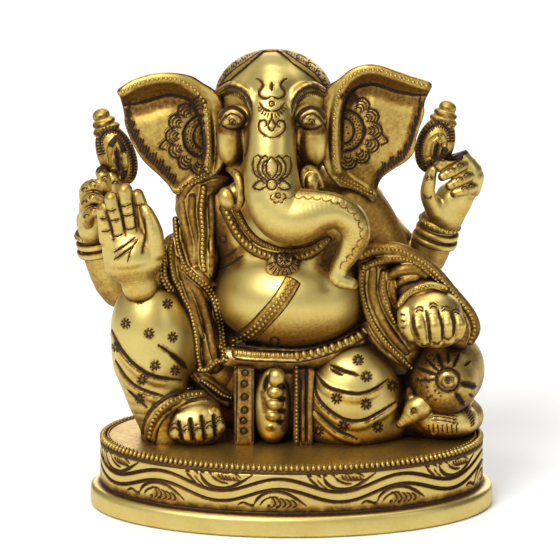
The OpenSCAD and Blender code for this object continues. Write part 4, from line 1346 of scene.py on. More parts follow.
def make_hem():
    bed = join(1.0, right_thigh, ball(spot(-33.5, 26.5, -7), (12.5, 7.5, 9.5)))
    path = [(-46.4, 21.5), (-45.9, 24.5), (-44.8, 27.4), (-42.4, 30.6), (-38.8, 33.2), (-34.6, 34.8),
            (-29.6, 35.4)]
    band = join(0.8, strand(bed, path, 2.2, -0.8), ball(spot(-33.5, 27.5, -7), (11.6, 6.6, 8.8)))
    edges = [strand(bed, [(s + a, t + b) for s, t in path], 0.65, 0.5)
             for a, b in ((-1.9, 1.5), (1.7, -1.7))]

    def extra(cast):
        bead_row(cast, band, path, 1.4, (0.65, 0.85, 0.5), 0.15)

    form_piece(ANTIQUED, "right_leg_hem", seated(join(0.3, band, *edges)), 0.34, None, pad=7, extra=extra,
               tone=0.22)


def make_left_foot():
    sole = join(2.0, ball(spot(-6.2, 32.0, -11.0), (6.0, 4.5, 12.4)),
                ball(spot(-6.4, 26, -10), (5.0, 4.5, 7)))
    toes = [
        ball(spot(s, t, y), size)
        for s, t, y, size in ((-4.9, 40.8, -15.2, (2.9, 2.8, 3.4)), (-5.2, 36.1, -15.0, (2.9, 2.5, 2.2)),
                              (-5.5, 32.2, -15.0, (2.9, 2.4, 2.1)),
                              (-6.0, 28.4, -14.6, (2.6, 2.3, 2.0)), (-6.7, 25.0, -13.8, (2.0, 2.0, 1.7)))
    ]
    marks = Marks()
    for s, t, u in ((-3.6, 38.1, -1.7), (-3.6, 34.0, -1.7), (-3.7, 30.0, -1.8), (-4.4, 26.4, -2.4)):
        marks.line([(s - 0.6, t), (u, t - 0.3)], 1.5, 1.2, 3)
    marks.line([(-7.4, 41.6), (-8.4, 39.4), (-8.8, 36.4)], 1.5, 1.2)
    # Painted shade on the sole each side of the toes.
    marks.shade_and_patina_patch([(-1.4, 40), (-0.8, 32), (-2.4, 24)], 4, 0.6)
    marks.shade_and_patina_patch([(-9.4, 36), (-8.6, 30)], 3, 0.5)
    form_piece(POLISHED, "left_foot", seated(join(0.4, sole, *toes)), 0.3, marks, pad=7)


def make_dhoti():
    def slab(low, high):
        middle = (np.array(low, F32) + np.array(high, F32)) / 2
        half = (np.array(high, F32) - np.array(low, F32)) / 2 - 0.5

        def distance(p):
            q = np.abs(p - middle) - half
            return np.linalg.norm(np.maximum(q, 0), axis=1) + np.minimum(q.max(1), 0) - 0.5

        return distance

    marks = Marks()
    for s, t in ((-15.1, 42.3), (-15.4, 38.7), (-15.3, 34.4), (-15.3, 30.1), (-15.7, 26.6), (-15.6, 23.2)):
        marks.ring((s, t), 0.95, 0.8, 0.55)
    marks.line([(-17.7, 45), (-18.1, 20)], 0.5, 0.4, 2, False)
    marks.line([(-12.9, 45), (-12.8, 20)], 0.5, 0.4, 2, False)
    marks.shade_and_patina_patch([(-15.3, 46), (-15.5, 20)], 7, 0.3)
    form_piece(ANTIQUED, "dhoti_ring_panel", slab((-18.8, -13.0, 22), (-12.2, 0, 49)), 0.3, marks, pad=3,
               tone=0.22)

    ridges = [limb([(s, -12.2, 22.5), (s, -12.8, 36), (s + 0.3, -12.4, 48)], r)
              for s, r in ((1.6, 1.2), (3.8, 0.9), (5.9, 1.2))]
    folds = Marks()
    for s in (2.8, 4.8):
        folds.line([(s, 44), (s - 0.1, 32), (s, 20)], 0.8, 0.7, 3, False)
    folds.shade_and_patina_patch([(1.6, 44), (1.6, 20)], 3, 0.45)
    folds.shade_and_patina_patch([(-12, 44), (-12, 20)], 3, 0.5)
    folds.shade_and_patina_patch([(4, 46), (4, 38)], 6, 0.6)

    def extra(cast):
        bead_row(cast, ridges[0], [(1.6, 44), (1.6, 20)], 1.25, 0.5, 0.05)

    form_piece(ANTIQUED, "dhoti_pleats", join(0.3, slab((0.4, -12.4, 22), (6.8, 0, 48)), *ridges), 0.3,
               folds, pad=3, extra=extra, tone=0.24)


def make_belt():
    path = [(-18, 48.9), (-12, 48.3), (-5.9, 48.1), (1.7, 48.0), (7.7, 49.1), (13.1, 50.7), (18.6, 52.8),
            (22.7, 55), (25.4, 58)]
    base = join(2, torso, left_thigh)
    band = strand(base, path, 1.9, -0.7)
    edges = [strand(base, [(s, t + shift) for s, t in path], 0.5, 0.5) for shift in (1.9, -1.9)]

    def extra(cast):
        bead_row(cast, band, path[3:], 2.5, (0.95, 1.6, 0.7), 0.1)
        bead_row(cast, band, path[:4], 1.5, (0.55, 1.1, 0.5), 0.0)

    form_piece(ANTIQUED, "waist_belt", join(0.3, band, *edges), 0.34, None, pad=5, extra=extra, tone=0.28)


# ---------------------------------------------------------------- ornaments and scarves

def make_necklace():
    path = [(-21.8, 96), (-19.6, 91.4), (-17.4, 87.4), (-14.4, 84), (-11, 81.8), (-7.2, 80.4), (-3, 79.8),
            (1.4, 80.2), (5.6, 81.4), (9.4, 83.8)]
    band = strand(torso, path, 2.0, -0.6)
    upper = [(s + 2.6, t + 2.0) for s, t in path]
    second = strand(torso, upper, 1.2, -0.1)

    def extra(cast):
        bead_row(cast, band, path, 1.75, (0.8, 1.0, 0.7), 0.15)
        bead_row(cast, second, upper, 1.1, 0.42, 0.1)

    form_piece(ANTIQUED, "necklace", join(0.4, band, second), 0.34, None, pad=6, extra=extra, tone=0.28)


def make_pendant():
    at = onto(torso, [(-3.1, 77.0)])[0]
    moon = ball(at + np.array([0, -0.6, 0], F32), (5.3, 2.6, 5.3), (12, 0, 0))
    disc_at = onto(torso, [(-2.3, 79.2)])[0]
    disc = ball(disc_at + np.array([0, -2.2, 0], F32), (2.9, 1.8, 2.9), (12, 0, 0))
    marks = Marks()
    marks.ring((-2.3, 79.6), 3.0, 0.7, 0.6)
    for k in range(9):
        a = math.radians(192 + 19 * k)
        c, d = math.cos(a), math.sin(a)
        marks.line([(-2.7 + 3.5 * c, 78.9 + 3.3 * d), (-2.8 + 4.9 * c, 78.6 + 4.9 * d)], 0.5, 0.35, 1,
                   False)
    marks.flower((-2.3, 79.6), 1.15, 7)
    form_piece(POLISHED, "necklace_pendant", join(0.2, moon, disc), 0.26, marks, pad=5, tone=-0.2)


def make_thread():
    path = [(0.4, 72.4), (-1.8, 68.6), (-4.6, 64.6), (-8.4, 60.4), (-12.0, 56.6), (-15.8, 53.8),
            (-20.0, 51.4)]
    flat, ways = along(path, 1.2)
    side = np.column_stack([-ways[:, 1], ways[:, 0]])
    band = join(0.8, *[limb(onto(torso, flat + side * shift, -0.15), 0.85, 1) for shift in (-1.2, 0, 1.2)])
    edges = [limb(onto(torso, flat + side * shift, 0.05), 0.55, 1) for shift in (-2.3, 2.3)]

    def extra(cast):
        bead_row(cast, band, path, 1.5, (0.72, 0.62, 0.5), 0.1, rows=2, gap=1.45)

    form_piece(ANTIQUED, "sacred_thread", join(0.3, band, *edges), 0.34, None, pad=6, extra=extra,
               tone=0.26)


def make_right_scarf():
    base = join(4, torso, right_thigh, front_right_arm)
    bed = limb(onto(base, [(-31.5, 101), (-31.8, 94), (-31.4, 86), (-31.2, 78)], -2.2),
               [4.6, 5.6, 6.0, 4.6])
    fall = limb(onto(base, [(-33.5, 73), (-29.6, 66), (-27.6, 58), (-26.2, 50), (-25.4, 45)], -1.6),
                [3.6, 4.2, 4.4, 4.4, 3.6])
    under = limb(onto(base, [(-30.5, 42), (-26.5, 38), (-22.5, 34.5), (-19.8, 32)], -1.4),
                 [2.4, 2.8, 2.6, 1.6])
    behind = join(2, limb(seen([(-29, 80, 0), (-33, 71, 1), (-32, 62, 1)]), [5.5, 7.5, 6]),
                  limb(seen([(-38, 84, 2), (-39.5, 77, -1), (-37.5, 70, -1)]), [4, 5.5, 5]),
                  limb(seen([(-33, 96, 3), (-31, 102, 4), (-25, 107, 4)]), [5, 6, 5]))
    upper_bed = join(2, base, bed, behind)
    lower_bed = join(2, base, fall, under, behind)
    plain = [
        (lower_bed, [(-37.4, 79.5), (-35.6, 74), (-33.6, 69), (-31.6, 62), (-29.2, 54)],
         [0.8, 1.1, 1.2, 1.2, 0.8]),
        (lower_bed, [(-31.0, 76.5), (-29.0, 73.5), (-26.8, 71.6), (-24.6, 71.0)], [0.9, 1.2, 1.1, 0.8]),
        (upper_bed, [(-36.4, 97.0), (-34.4, 101.6), (-31.2, 104.6)], [0.9, 1.2, 0.9]),
        (upper_bed, [(-30.0, 104.8), (-25.2, 106.8), (-21.0, 106.0)], [0.9, 1.2, 0.9]),
        (upper_bed, [(-35.8, 99.1), (-35.2, 92.8), (-33.6, 86.6), (-32.6, 80.3), (-31.9, 76.6)],
         [1.2, 1.6, 1.6, 1.3, 0.7]),
        (upper_bed, [(-32.3, 99.8), (-32.5, 94.4), (-31.4, 88.1), (-31, 83.4), (-31.1, 78.1)],
         [1.1, 1.2, 1.1, 1.0, 0.7]),
        (upper_bed, [(-26.4, 100.1), (-26.1, 92.8), (-26.3, 86.6), (-26.1, 80.3), (-26.4, 74)],
         [1.0, 1.1, 1.1, 1.0, 0.8]),
        (lower_bed, [(-34.6, 72.8), (-31, 68.9), (-28.6, 62.7), (-27.1, 57), (-25.6, 49.5), (-25.0, 46.6)],
         [1.1, 1.6, 1.7, 1.6, 1.3, 0.9]),
        (lower_bed, [(-32.7, 41.2), (-29, 37.4), (-25.2, 34), (-20.7, 31.6)], [0.8, 1.1, 1.1, 0.7]),
    ]
    beaded = [
        (upper_bed, [(-41.8, 83.0), (-42.0, 78.5), (-41.6, 73.5), (-39.6, 69.6)], [1.0, 1.3, 1.3, 0.9], 1.2,
         0.62, 2),
        (upper_bed, [(-39.0, 86.0), (-39.4, 80.0), (-38.6, 74.0), (-36.8, 69.8)], [0.9, 1.3, 1.3, 1.0], 1.2,
         0.5, 1),
        (upper_bed, [(-37.9, 92.4), (-37.4, 86.6), (-36.8, 82.8), (-35.4, 78.7), (-33.9, 76)],
         [1.0, 1.1, 1.1, 1.0, 0.8], 1.15, 0.62, 1),
        (upper_bed, [(-28.6, 102.6), (-29.4, 96), (-29.1, 91.3), (-28.9, 86.6), (-29.1, 80.9), (-28.6, 76)],
         [1.1, 1.3, 1.4, 1.4, 1.2, 0.9], 1.4, 0.85, 1),
        (lower_bed, [(-35.4, 77), (-32, 74), (-28.9, 71.5), (-26, 68), (-24.3, 63.6), (-23.2, 58),
                     (-22.6, 53), (-21.6, 47)], [1.3, 1.5, 1.6, 1.6, 1.6, 1.5, 1.4, 1.0], 1.25, 0.55, 2),
        (lower_bed, [(-36.9, 71.4), (-35.4, 67.2), (-33.4, 63.4), (-32, 58.6), (-31, 53), (-30.6, 48),
                     (-29.8, 44)], [1.0, 1.2, 1.3, 1.3, 1.2, 1.1, 0.8], 1.2, 0.62, 1),
        (lower_bed, [(-30.3, 43.2), (-27.5, 43.4), (-24.8, 45.6), (-21.4, 46.6)], [1.0, 1.1, 1.1, 0.9],
         1.15, 0.5, 1),
        (lower_bed, [(-29.2, 39.7), (-25.9, 37.4), (-22.9, 35.2), (-19.9, 34)], [0.9, 1.1, 1.1, 0.8], 1.15,
         0.5, 1),
    ]
    strands = [strand(on, marks, size) for on, marks, size in plain] + [strand(on, marks, size)
                                                                        for on, marks, size, *_ in beaded]
    cloth = join(0.35, join(1.5, bed, fall, under, behind), *strands)

    def extra(cast):
        for on, marks, size, pitch, bead, rows in beaded:
            bead_row(cast, cloth, marks, pitch, (bead, bead, bead * 0.8), 0.1, rows=rows, gap=1.05)

    form_piece(ANTIQUED, "right_scarf", seated(cloth), 0.34, None, pad=9, extra=extra, tone=0.30)


def make_left_scarf():
    base = join(4, torso, left_thigh, front_left_arm)
    top = [(22.8, 80.6), (26, 82.2), (29.6, 82.6), (34, 82.4), (38.4, 80.8), (43.6, 77.6), (48, 73.4),
           (51.6, 69.2), (55.4, 65), (58.4, 60.8), (59.6, 56.6), (58.2, 52.8)]
    depth = [-8, -8.5, -9, -9.5, -9.5, -9, -8.5, -8, -7.5, -7, -6.5, -6]
    route = [(s, t, y) for (s, t), y in zip(top, depth)]
    roll = limb(seen(route), [1.8, 2.2, 2.4, 2.5, 2.4, 2.3, 2.2, 2.1, 2.0, 2.0, 2.0, 1.6])
    inner = [(23.4, 76.6, -9.5), (27.6, 78.4, -10), (32.4, 79.6, -10.5), (37, 79.2, -10.5),
             (41.6, 77.2, -10), (46, 73.6, -9), (50, 69.4, -8), (53.6, 65.2, -7)]
    second = limb(seen(inner), [1.2, 1.5, 1.6, 1.6, 1.5, 1.4, 1.2, 0.9])
    crumple = join(0.8, limb(seen([(31, 73, -9), (35, 75.6, -11.5), (39.6, 76, -11.5), (43, 74, -10.5)]),
                             [1.6, 1.9, 1.9, 1.4]),
                   limb(seen([(33.6, 70.4, -9.5), (37, 72.8, -12), (40.4, 73.2, -12)]), [1.2, 1.3, 1.0]))
    sheet = join(2, limb(seen([(27, 77, -3), (30, 68, -4), (33, 59, -4), (37, 50, -3)]),
                         [6.5, 7.5, 7.5, 5.5]),
                 limb(seen([(26, 58, 0), (33, 50, 0), (39, 42, 1)]), [5, 6.5, 6]))
    tail = limb(seen([(45, 73, -6), (51.0, 66, -5.5), (54.6, 59, -5), (54.6, 53.5, -5)]),
                [3.4, 4.6, 4.6, 3.4])
    bed = join(2, base, sheet)
    falls = [
        [(23.4, 77), (22.8, 71), (24, 65), (26.4, 59), (30, 53.4), (35, 48), (39, 44)],
        [(26.6, 76), (26.4, 70), (27.8, 64), (30.6, 58), (34, 53), (37.4, 49)],
        [(29.8, 75), (29.6, 69.4), (31.2, 64), (33.4, 59)],
        [(32.8, 74), (32.6, 69.6), (33.8, 65.4)],
    ]
    drape = [strand(bed, f, [1.2] + [1.55] * (len(f) - 2) + [1.0], 0.15) for f in falls]
    hem = strand(bed, [(24.2, 58.6), (27.6, 52.6), (32.2, 48.2), (37.4, 44.6)], [1.0, 1.3, 1.3, 0.9], 0.1)
    cloth = join(0.35, roll, second, crumple, sheet, tail, hem, *drape)

    def extra(cast):
        bead_row(cast, cloth, top, 1.3, (0.6, 0.7, 0.5), 0.05)
        bead_row(cast, cloth, [(s, t) for s, t, _ in inner], 1.15, 0.5, 0.05)
        bead_row(cast, cloth, falls[0], 1.2, 0.55, 0.05)
        bead_row(cast, cloth, falls[2], 1.2, 0.5, 0.05)

    form_piece(ANTIQUED, "left_scarf", cloth, 0.34, None, pad=9, extra=extra, tone=0.30)


# ---------------------------------------------------------------- arms, hands and what they hold

def make_arms():
    form_piece(POLISHED, "rear_right_arm", rear_right_arm, PLAIN, tone=0.14)
    form_piece(POLISHED, "rear_left_arm", rear_left_arm, PLAIN, tone=0.14)
    form_piece(POLISHED, "front_right_arm", front_right_arm, PLAIN, tone=0.16)
    form_piece(POLISHED, "front_left_arm", front_left_arm, PLAIN, tone=0.34)


def wrist_rings(node, line, rows):
    """Turned bands round a forearm. rows holds (place along the last span, radius, width, beaded)."""
    a, b = line[-2], line[-1]
    way = (b - a) / np.linalg.norm(b - a)
    side = np.cross(way, [0, 1, 0])
    side /= np.linalg.norm(side)
    up = np.cross(side, way)
    cast = Cast()
    turns, parts = 48, 12
    for place, radius, width, beaded in rows:
        centre = b - way * place
        angle = np.linspace(0, 2 * math.pi, turns, endpoint=False)
        out = np.cos(angle)[:, None] * side + np.sin(angle)[:, None] * up
        section = np.linspace(0, 2 * math.pi, parts, endpoint=False)
        v = (centre + out[:, None] * (radius + 0.55 * width * np.cos(section))[None, :, None]
             + way * (width * np.sin(section))[None, :, None])
        i, j = np.arange(turns)[:, None], np.arange(parts)[None]
        quads = np.stack([i * parts + j, (i + 1) % turns * parts + j,
                          (i + 1) % turns * parts + (j + 1) % parts, i * parts + (j + 1) % parts], -1)
        tone = np.tile(0.75 * step(0.35, 1.0, np.abs(np.sin(section))), turns)
        cast.add(v.reshape(-1, 3), [quads.reshape(-1, 4)], tone)
        if beaded:
            ring = centre + out * (radius + 0.5 * width)
            ways = np.roll(ring, -1, 0) - np.roll(ring, 1, 0)
            beads(cast, ring[::2], ways[::2], out[::2], (0.7, 0.7, 0.45))
    cast.finish(f"{node}_cast", ANTIQUED, node)


def rear_hand(side):
    """A fist that holds the stalk of a bud, thumb in front. side is -1 for the right hand."""
    if side < 0:
        palm = [(-63.5, 92, 12), (-62.5, 97.5, 10)]
        fingers = [
            [(-66.6, 96.5, 9), (-67.2, 101.5, 5), (-64.6, 103.6, 2), (-61.6, 102.6, 1.5)],
            [(-66.0, 92.5, 8.5), (-67.2, 97.2, 4), (-64.8, 99.4, 1), (-61.8, 98.4, 0.6)],
            [(-65.4, 88.8, 8.5), (-66.6, 92.8, 4), (-64.4, 95.0, 1), (-61.6, 94.4, 0.6)],
            [(-60.8, 108.2, 7), (-61.8, 107.4, 3), (-60.6, 105.2, 1.5), (-59.6, 102.8, 2)],
        ]
        thumb = [(-58.4, 93.5, 8), (-56.6, 98.4, 4), (-57.4, 103.6, 2.5), (-58.6, 106.4, 2.5)]
    else:
        palm = [(50.6, 94.5, 12), (53.0, 99.0, 11.5)]
        fingers = [
            [(54.6, 113.4, 9), (53.0, 113.2, 5.5), (50.4, 111.6, 2.5), (47.8, 109.2, 2.2)],
            [(56.8, 109.8, 9), (55.2, 109.6, 5.5), (52.2, 108.0, 2.2), (49.0, 106.2, 1.8)],
            [(58.6, 106.2, 9), (57.4, 106.4, 5.5), (54.6, 105.0, 2.2), (51.4, 103.2, 1.8)],
            [(59.4, 102.0, 9), (58.8, 102.8, 6), (56.4, 102.0, 2.8), (53.0, 100.8, 2.2)],
        ]
        thumb = [(46.6, 95.5, 8), (44.4, 100.4, 5), (44.8, 105.0, 3.5), (45.8, 108.4, 3)]
    grip = [limb(seen(f), [2.3, 2.1, 2.0, 1.5]) for f in fingers]
    back_of_hand = [palm[1], fingers[2][0], fingers[0][0]]
    hand = join(1.6, limb(seen(palm), [6.2, 6.0]), limb(seen(back_of_hand), [5.2, 4.2, 2.8]),
                limb(seen(thumb), [3.0, 2.5, 2.2, 1.6]))
    marks = Marks()
    for f in fingers:
        for s, t, _ in (f[2], f[1]):
            marks.ring((s, t), 1.1, 0.4, 0.35, 40 if side > 0 else 60, 170)
    s, t, _ = thumb[2]
    marks.ring((s, t), 1.1, 0.4, 0.35, 20, 160)
    marks.ring((thumb[1][0], thumb[1][1]), 1.3, 0.4, 0.3, 200, 340)
    return join(0.3, hand, *grip), marks


def bud_form(base, tip):
    """A tapering bud with a stepped neck; the raised loop and ribbed border on its front are added where it
    is used.
    """
    base, tip = spot(*base), spot(*tip)
    way = (tip - base) / np.linalg.norm(tip - base)
    length = np.linalg.norm(tip - base)
    body_centre = base + way * length * 0.40
    turn = (0, math.degrees(math.atan2(way[0], way[2])), 0)
    shell = ball(body_centre, (6.2, 4.4, length * 0.40), turn)
    neck = base + way * length * 0.74
    parts = [
        ball(neck, (4.6, 4.0, 2.0), turn),
        ball(base + way * length * 0.83, (3.9, 3.5, 1.7), turn),
        ball(base + way * length * 0.92, (2.9, 2.8, 2.2), turn),
    ]
    return join(0.4, shell, *parts)


def make_rear_hands():
    for side, node, bud_node in ((-1, "rear_right_hand", "right_bud"), (1, "rear_left_hand", "left_bud")):
        hand, marks = rear_hand(side)
        form_piece(POLISHED, node, hand, 0.3, marks, pad=6)
        if side < 0:
            base, tip = (-53.2, 103.5, 6), (-62.8, 128.2, 9)
            loop = [(-57.2, 118.8), (-59.2, 115.6), (-58.6, 110.8), (-56.9, 106), (-55.2, 105.4),
                    (-54.2, 109.8), (-54.8, 115.0), (-56.4, 118.6)]
            slot_line = [(-57.0, 115.6), (-56.5, 111.6), (-56.2, 107.4)]
            ribs = [(-61.6, 113.6), (-62.4, 117.9), (-61.1, 120.2), (-58.6, 121.4), (-55.7, 120.4),
                    (-53.6, 117.4), (-52.1, 113.7), (-51.5, 109.9), (-51.9, 105.7)]
        else:
            base, tip = (43.6, 107.5, 6), (51.4, 130.6, 9)
            loop = [(47.8, 119.6), (45.2, 117.4), (44.4, 113.2), (45.2, 109.6), (46.8, 109.4),
                    (49.0, 112.6), (49.8, 116.6), (48.9, 119.3)]
            slot_line = [(47.6, 117.4), (47.0, 114.4), (46.4, 111.4)]
            ribs = [(44.2, 107.6), (42.4, 111.0), (41.6, 114.6), (42.3, 118.6), (44.6, 121.8), (48, 123.3),
                    (51.1, 121.3), (51.6, 117.8)]
        form = bud_form(base, tip)
        ring = strand(form, loop + loop[:1], 0.95, 0.1)
        bud_marks = Marks().line(slot_line, 1.1, 1.0, 4).line(ribs, 0.7, 0.5)
        bud_marks.hatch(ribs, 1.6, 0.95, 0, 0.5, 0.5)
        bud_marks.hatch(ribs, -1.1, 0.95, 0, 0.4, 0.3)
        form_piece(ANTIQUED, bud_node, join(0.2, form, ring), 0.28, bud_marks, pad=5, tone=0.16)
    rows = [(4.0, 6.1, 1.5, True), (7.2, 6.6, 1.3, False), (10.0, 7.0, 1.2, False)]
    wrist_rings("rear_right_bangles", rear_right_line, rows)
    wrist_rings("rear_left_bangles", rear_left_line, rows)


def make_front_right_hand():
    palm = join(2.5, ball(spot(-51.6, 82.5, -12), (9.2, 4.6, 10.2), (0, 4, 0)),
                limb(seen([(-57.5, 86, -12.6), (-56, 77, -11.5)]), [3.6, 4.6]),
                limb(seen([(-46.4, 79, -13), (-45.2, 85, -13)]), [4.4, 3.4]),
                limb(seen([(-51.4, 80.5, -12), (-50.2, 75.5, -11), (-49.4, 71.0, -10)]), [7.6, 6.2, 5.8]))
    fingers = [
        ([(-59.6, 86, -12.5), (-60.4, 91.4, -13.4), (-61.3, 95.6, -13.4)], [2.9, 2.5, 2.0]),
        ([(-56.0, 88, -12.5), (-57.4, 94.4, -14), (-58.4, 99.0, -14)], [3.0, 2.8, 2.3]),
        ([(-51.6, 89, -12.5), (-53.0, 96.4, -14), (-54.0, 101.6, -14)], [3.2, 3.0, 2.5]),
        ([(-48.4, 89, -11.5), (-48.9, 95.6, -12), (-49.9, 100.2, -11.5)], [2.9, 2.6, 2.0]),
    ]
    thumb = limb(seen([(-44.8, 82, -14), (-44.6, 88, -15), (-46.6, 93.8, -14.6), (-47.8, 96.0, -14)]),
                 [3.6, 2.9, 2.2, 1.6])
    hand = join(0.5, palm, join(0.25, *[limb(seen(line), size) for line, size in fingers]), thumb)
    marks = Marks()
    for a, b in (((-62.2, 92.6), (-59.4, 93.0)), ((-61.6, 88.4), (-58.6, 88.9)),
                 ((-60.0, 95.2), (-57.0, 95.4)), ((-58.6, 91.9), (-55.7, 92.5)),
                 ((-57.8, 86.9), (-54.9, 87.5)), ((-56.0, 96.5), (-52.0, 97.1)),
                 ((-54.7, 93.5), (-51.2, 94.1)), ((-53.9, 89.1), (-50.2, 89.9)),
                 ((-51.0, 97.0), (-48.2, 97.5))):
        middle = ((a[0] + b[0]) / 2, (a[1] + b[1]) / 2 - 0.45)
        marks.line([a, middle, b], 0.5, 0.4, 3)
    marks.line([(-57.6, 81.6), (-54.4, 83.6), (-50.7, 86.4)], 0.6, 0.5)
    marks.line([(-57.4, 79.3), (-54.6, 81.2), (-51.5, 83.5)], 0.6, 0.5)
    marks.line([(-49.6, 86), (-52.0, 82.4), (-53.2, 78.4)], 0.5, 0.3)
    for gap in (((-60.2, 95.0), (-58.6, 90), (-57.6, 85.6)), ((-56.2, 98.6), (-54.8, 92.6), (-53.8, 87.0)),
                ((-51.6, 99.6), (-50.8, 94.0), (-50.2, 88.6)),
                ((-48.0, 93), (-47.4, 87.4), (-48.4, 81.4))):
        marks.line(gap, 0.65, 0.6, 4)
        # Painted shade between the fingers.
        marks.shade_and_patina_patch(gap, 2.4, 0.32)
    form_piece(POLISHED, "front_right_hand", hand, 0.3, marks, pad=9)


def make_front_left_hand():
    """The back of a closed hand, four fingers over the bolster and the thumb beside them."""
    dome = join(2.5, ball(spot(45.2, 61.6, -11.5), (10.4, 8.6, 8.6)),
                ball(spot(47.0, 57.0, -13.5), (9.2, 6, 6.6)))
    fingers = [
        ([(40.6, 61.6, -17.4), (41.4, 57.6, -19.4), (42.6, 53.2, -18.2)], [2.0, 2.9, 2.5]),
        ([(45.2, 62.6, -18.0), (46.4, 58.2, -20.2), (46.7, 53.0, -18.8)], [2.0, 2.9, 2.6]),
        ([(49.6, 62.2, -17.4), (50.7, 58.4, -19.4), (50.5, 53.8, -18.2)], [2.0, 2.7, 2.4]),
        ([(53.2, 61.2, -15.6), (54.3, 58.2, -17.2), (53.8, 55.0, -16.6)], [1.8, 2.3, 2.0]),
    ]
    thumb = limb(seen([(36.6, 62.0, -15), (37.2, 58.0, -17), (39.2, 54.4, -17.4)]), [2.4, 2.6, 2.0])
    hand = join(1.0, dome, join(0.2, *[limb(seen(line), size) for line, size in fingers]), thumb)
    marks = Marks()
    for s, t in ((41.4, 62.6), (46.0, 63.8), (49.9, 62.8), (53.3, 61.8)):
        marks.ring((s, t), 1.35, 0.4, 0.35, 30, 150)
        marks.ring((s, t - 0.9), 1.2, 0.35, 0.3, 30, 150)
    for s, t in ((43.2, 52.4), (47.0, 53.0), (50.6, 54.4)):
        marks.ring((s, t), 1.2, 0.35, 0.3, 200, 340)
    for t in (61.5, 59.4, 57.2):
        marks.line([(35.4, t), (36.8, t - 0.3)], 0.5, 0.35, 2)
    for gap in (((43.3, 62.6), (44.4, 57.6), (44.8, 52.2)), ((47.5, 63.2), (48.8, 58.2), (48.9, 53.0)),
                ((51.6, 62.6), (52.7, 58.6), (52.5, 54.4)),
                ((39.2, 61.4), (39.6, 57.4), (41.2, 53.4))):
        marks.line(gap, 0.7, 0.7, 4)
    form_piece(POLISHED, "front_left_hand", hand, 0.3, marks, pad=6)
    cuff = strand(join(1, dome, front_left_arm),
                  [(34.6, 64.0), (37.4, 67.8), (41.4, 70.0), (45.8, 70.8), (50.4, 69.6)],
                  [1.2, 1.5, 1.6, 1.5, 1.2], -0.2)

    def extra(cast):
        bead_row(cast, cuff, [(34.8, 64.2), (37.4, 67.8), (41.4, 70.0), (45.8, 70.8), (50.2, 69.7)], 1.25,
                 0.55, 0.05)

    form_piece(ANTIQUED, "front_left_bracelet", cuff, 0.34, None, pad=6, extra=extra)


def make_cushion():
    hub = (50.8, 40.2)
    marks = Marks()
    for a, inner, outer_r, width, deep in ((66, 4.2, 9.4, 1.0, 0.8), (88, 5.4, 9.2, 0.9, 0.6),
                                           (112, 4.0, 9.4, 1.1, 0.8), (38, 7.2, 9.6, 1.1, 0.8),
                                           (-14, 4.2, 9.8, 1.7, 1.0), (-34, 8.6, 10.2, 0.9, 0.6),
                                           (-58, 5.0, 10.2, 1.5, 1.0), (158, 4.2, 11.0, 1.3, 0.8),
                                           (136, 4.2, 10.5, 0.9, 0.7), (182, 4.2, 10.5, 0.8, 0.6)):
        c, d = math.cos(math.radians(a)), math.sin(math.radians(a))
        marks.line([(hub[0] + inner * c, hub[1] + inner * d),
                    (hub[0] + (inner + outer_r) / 2 * c, hub[1] + (inner + outer_r) / 2 * d),
                    (hub[0] + outer_r * c, hub[1] + outer_r * d)], width, deep, 3)
    marks.ring(hub, 3.9, 0.9, 0.8)
    pits = np.random.default_rng(7)
    for _ in range(90):
        s, t = pits.uniform(-12.5, -2), pits.uniform(-9, 8)
        if 4.8 < math.hypot(s, t) < 12.5:
            marks.dot((hub[0] + s, hub[1] + t), pits.uniform(0.5, 0.9), pits.uniform(0.12, 0.3))
    marks.shade_and_patina_patch([(hub[0] - 8, hub[1] + 5), (hub[0] - 9, hub[1] - 5)], 9, 0.36)
    marks.shade_and_patina_patch([(hub[0] - 4, hub[1] - 10), (hub[0] + 6, hub[1] - 11)], 6, 0.5)
    foot = join(2, limb([(38, 2, 31), (46, 0, 29), (52, 0, 28), (57, 4, 28)], [6.5, 8, 8, 6]),
                ball((36.5, 4, 26), (6.5, 8, 7)))
    form_piece(ANTIQUED, "cushion", seated(join(2, bolster, foot)), 0.36, marks, tone=0.14)
    at = onto(bolster, [hub])[0]
    boss = join(0.3, ball(at + np.array([0, 0.4, 0], F32), (3.3, 2.0, 3.3), (12, 0, 0)),
                ball(at + np.array([0, -1.0, -0.2], F32), (2.3, 1.8, 2.3)))
    form_piece(POLISHED, "cushion_hub", boss, 0.26, Marks().ring(hub, 0.55, 0.6, 0.45), pad=6)


def make_mouse():
    back = join(2.5, ball(spot(50.0, 27.0, -6.5), (9.8, 5.8, 6.0), (0, 8, 0)),
                ball(spot(56.0, 27.0, -3), (5, 5, 5.2)))
    head = join(1.5, ball(spot(41.4, 31.0, -10.5), (5.6, 3.8, 4.2), (0, -42, 0)),
                limb(seen([(38.6, 28.0, -11.5), (34.8, 25.2, -12)]), [2.6, 0.9]))
    ears = [ball(spot(38.6, 35.6, -10), (1.2, 1.1, 2.4), (0, -10, 0)),
            ball(spot(44.6, 33.2, -12.2), (1.9, 1.4, 3.2), (0, -25, 0))]
    paw = limb(seen([(46.4, 22.6, -9.5), (49.6, 24.2, -10), (53.4, 25.8, -8.5)]), [0.9, 1.2, 0.7])
    marks = Marks().ring((39.8, 29.9), 0.75, 0.5, 0.4)
    for k in range(5):
        marks.line([(45.6, 31.4 - 1.15 * k), (50, 31.2 - 1.15 * k), (54.2, 30.4 - 1.15 * k)], 0.4, 0.35)
    for k in range(7):
        marks.line([(44.6 + 1.5 * k, 25.6), (44.9 + 1.5 * k, 22.6)], 0.4, 0.3, 2)
    marks.hatch([(55.4, 31.0), (57.4, 28.4), (58.6, 24.8)], 2.0, 0.9, 30, 0.4, 0.35)
    form_piece(ANTIQUED, "mouse", seated(join(0.5, back, head, join(0.2, *ears), paw)), 0.28, marks, pad=7)


# ---------------------------------------------------------------- stage

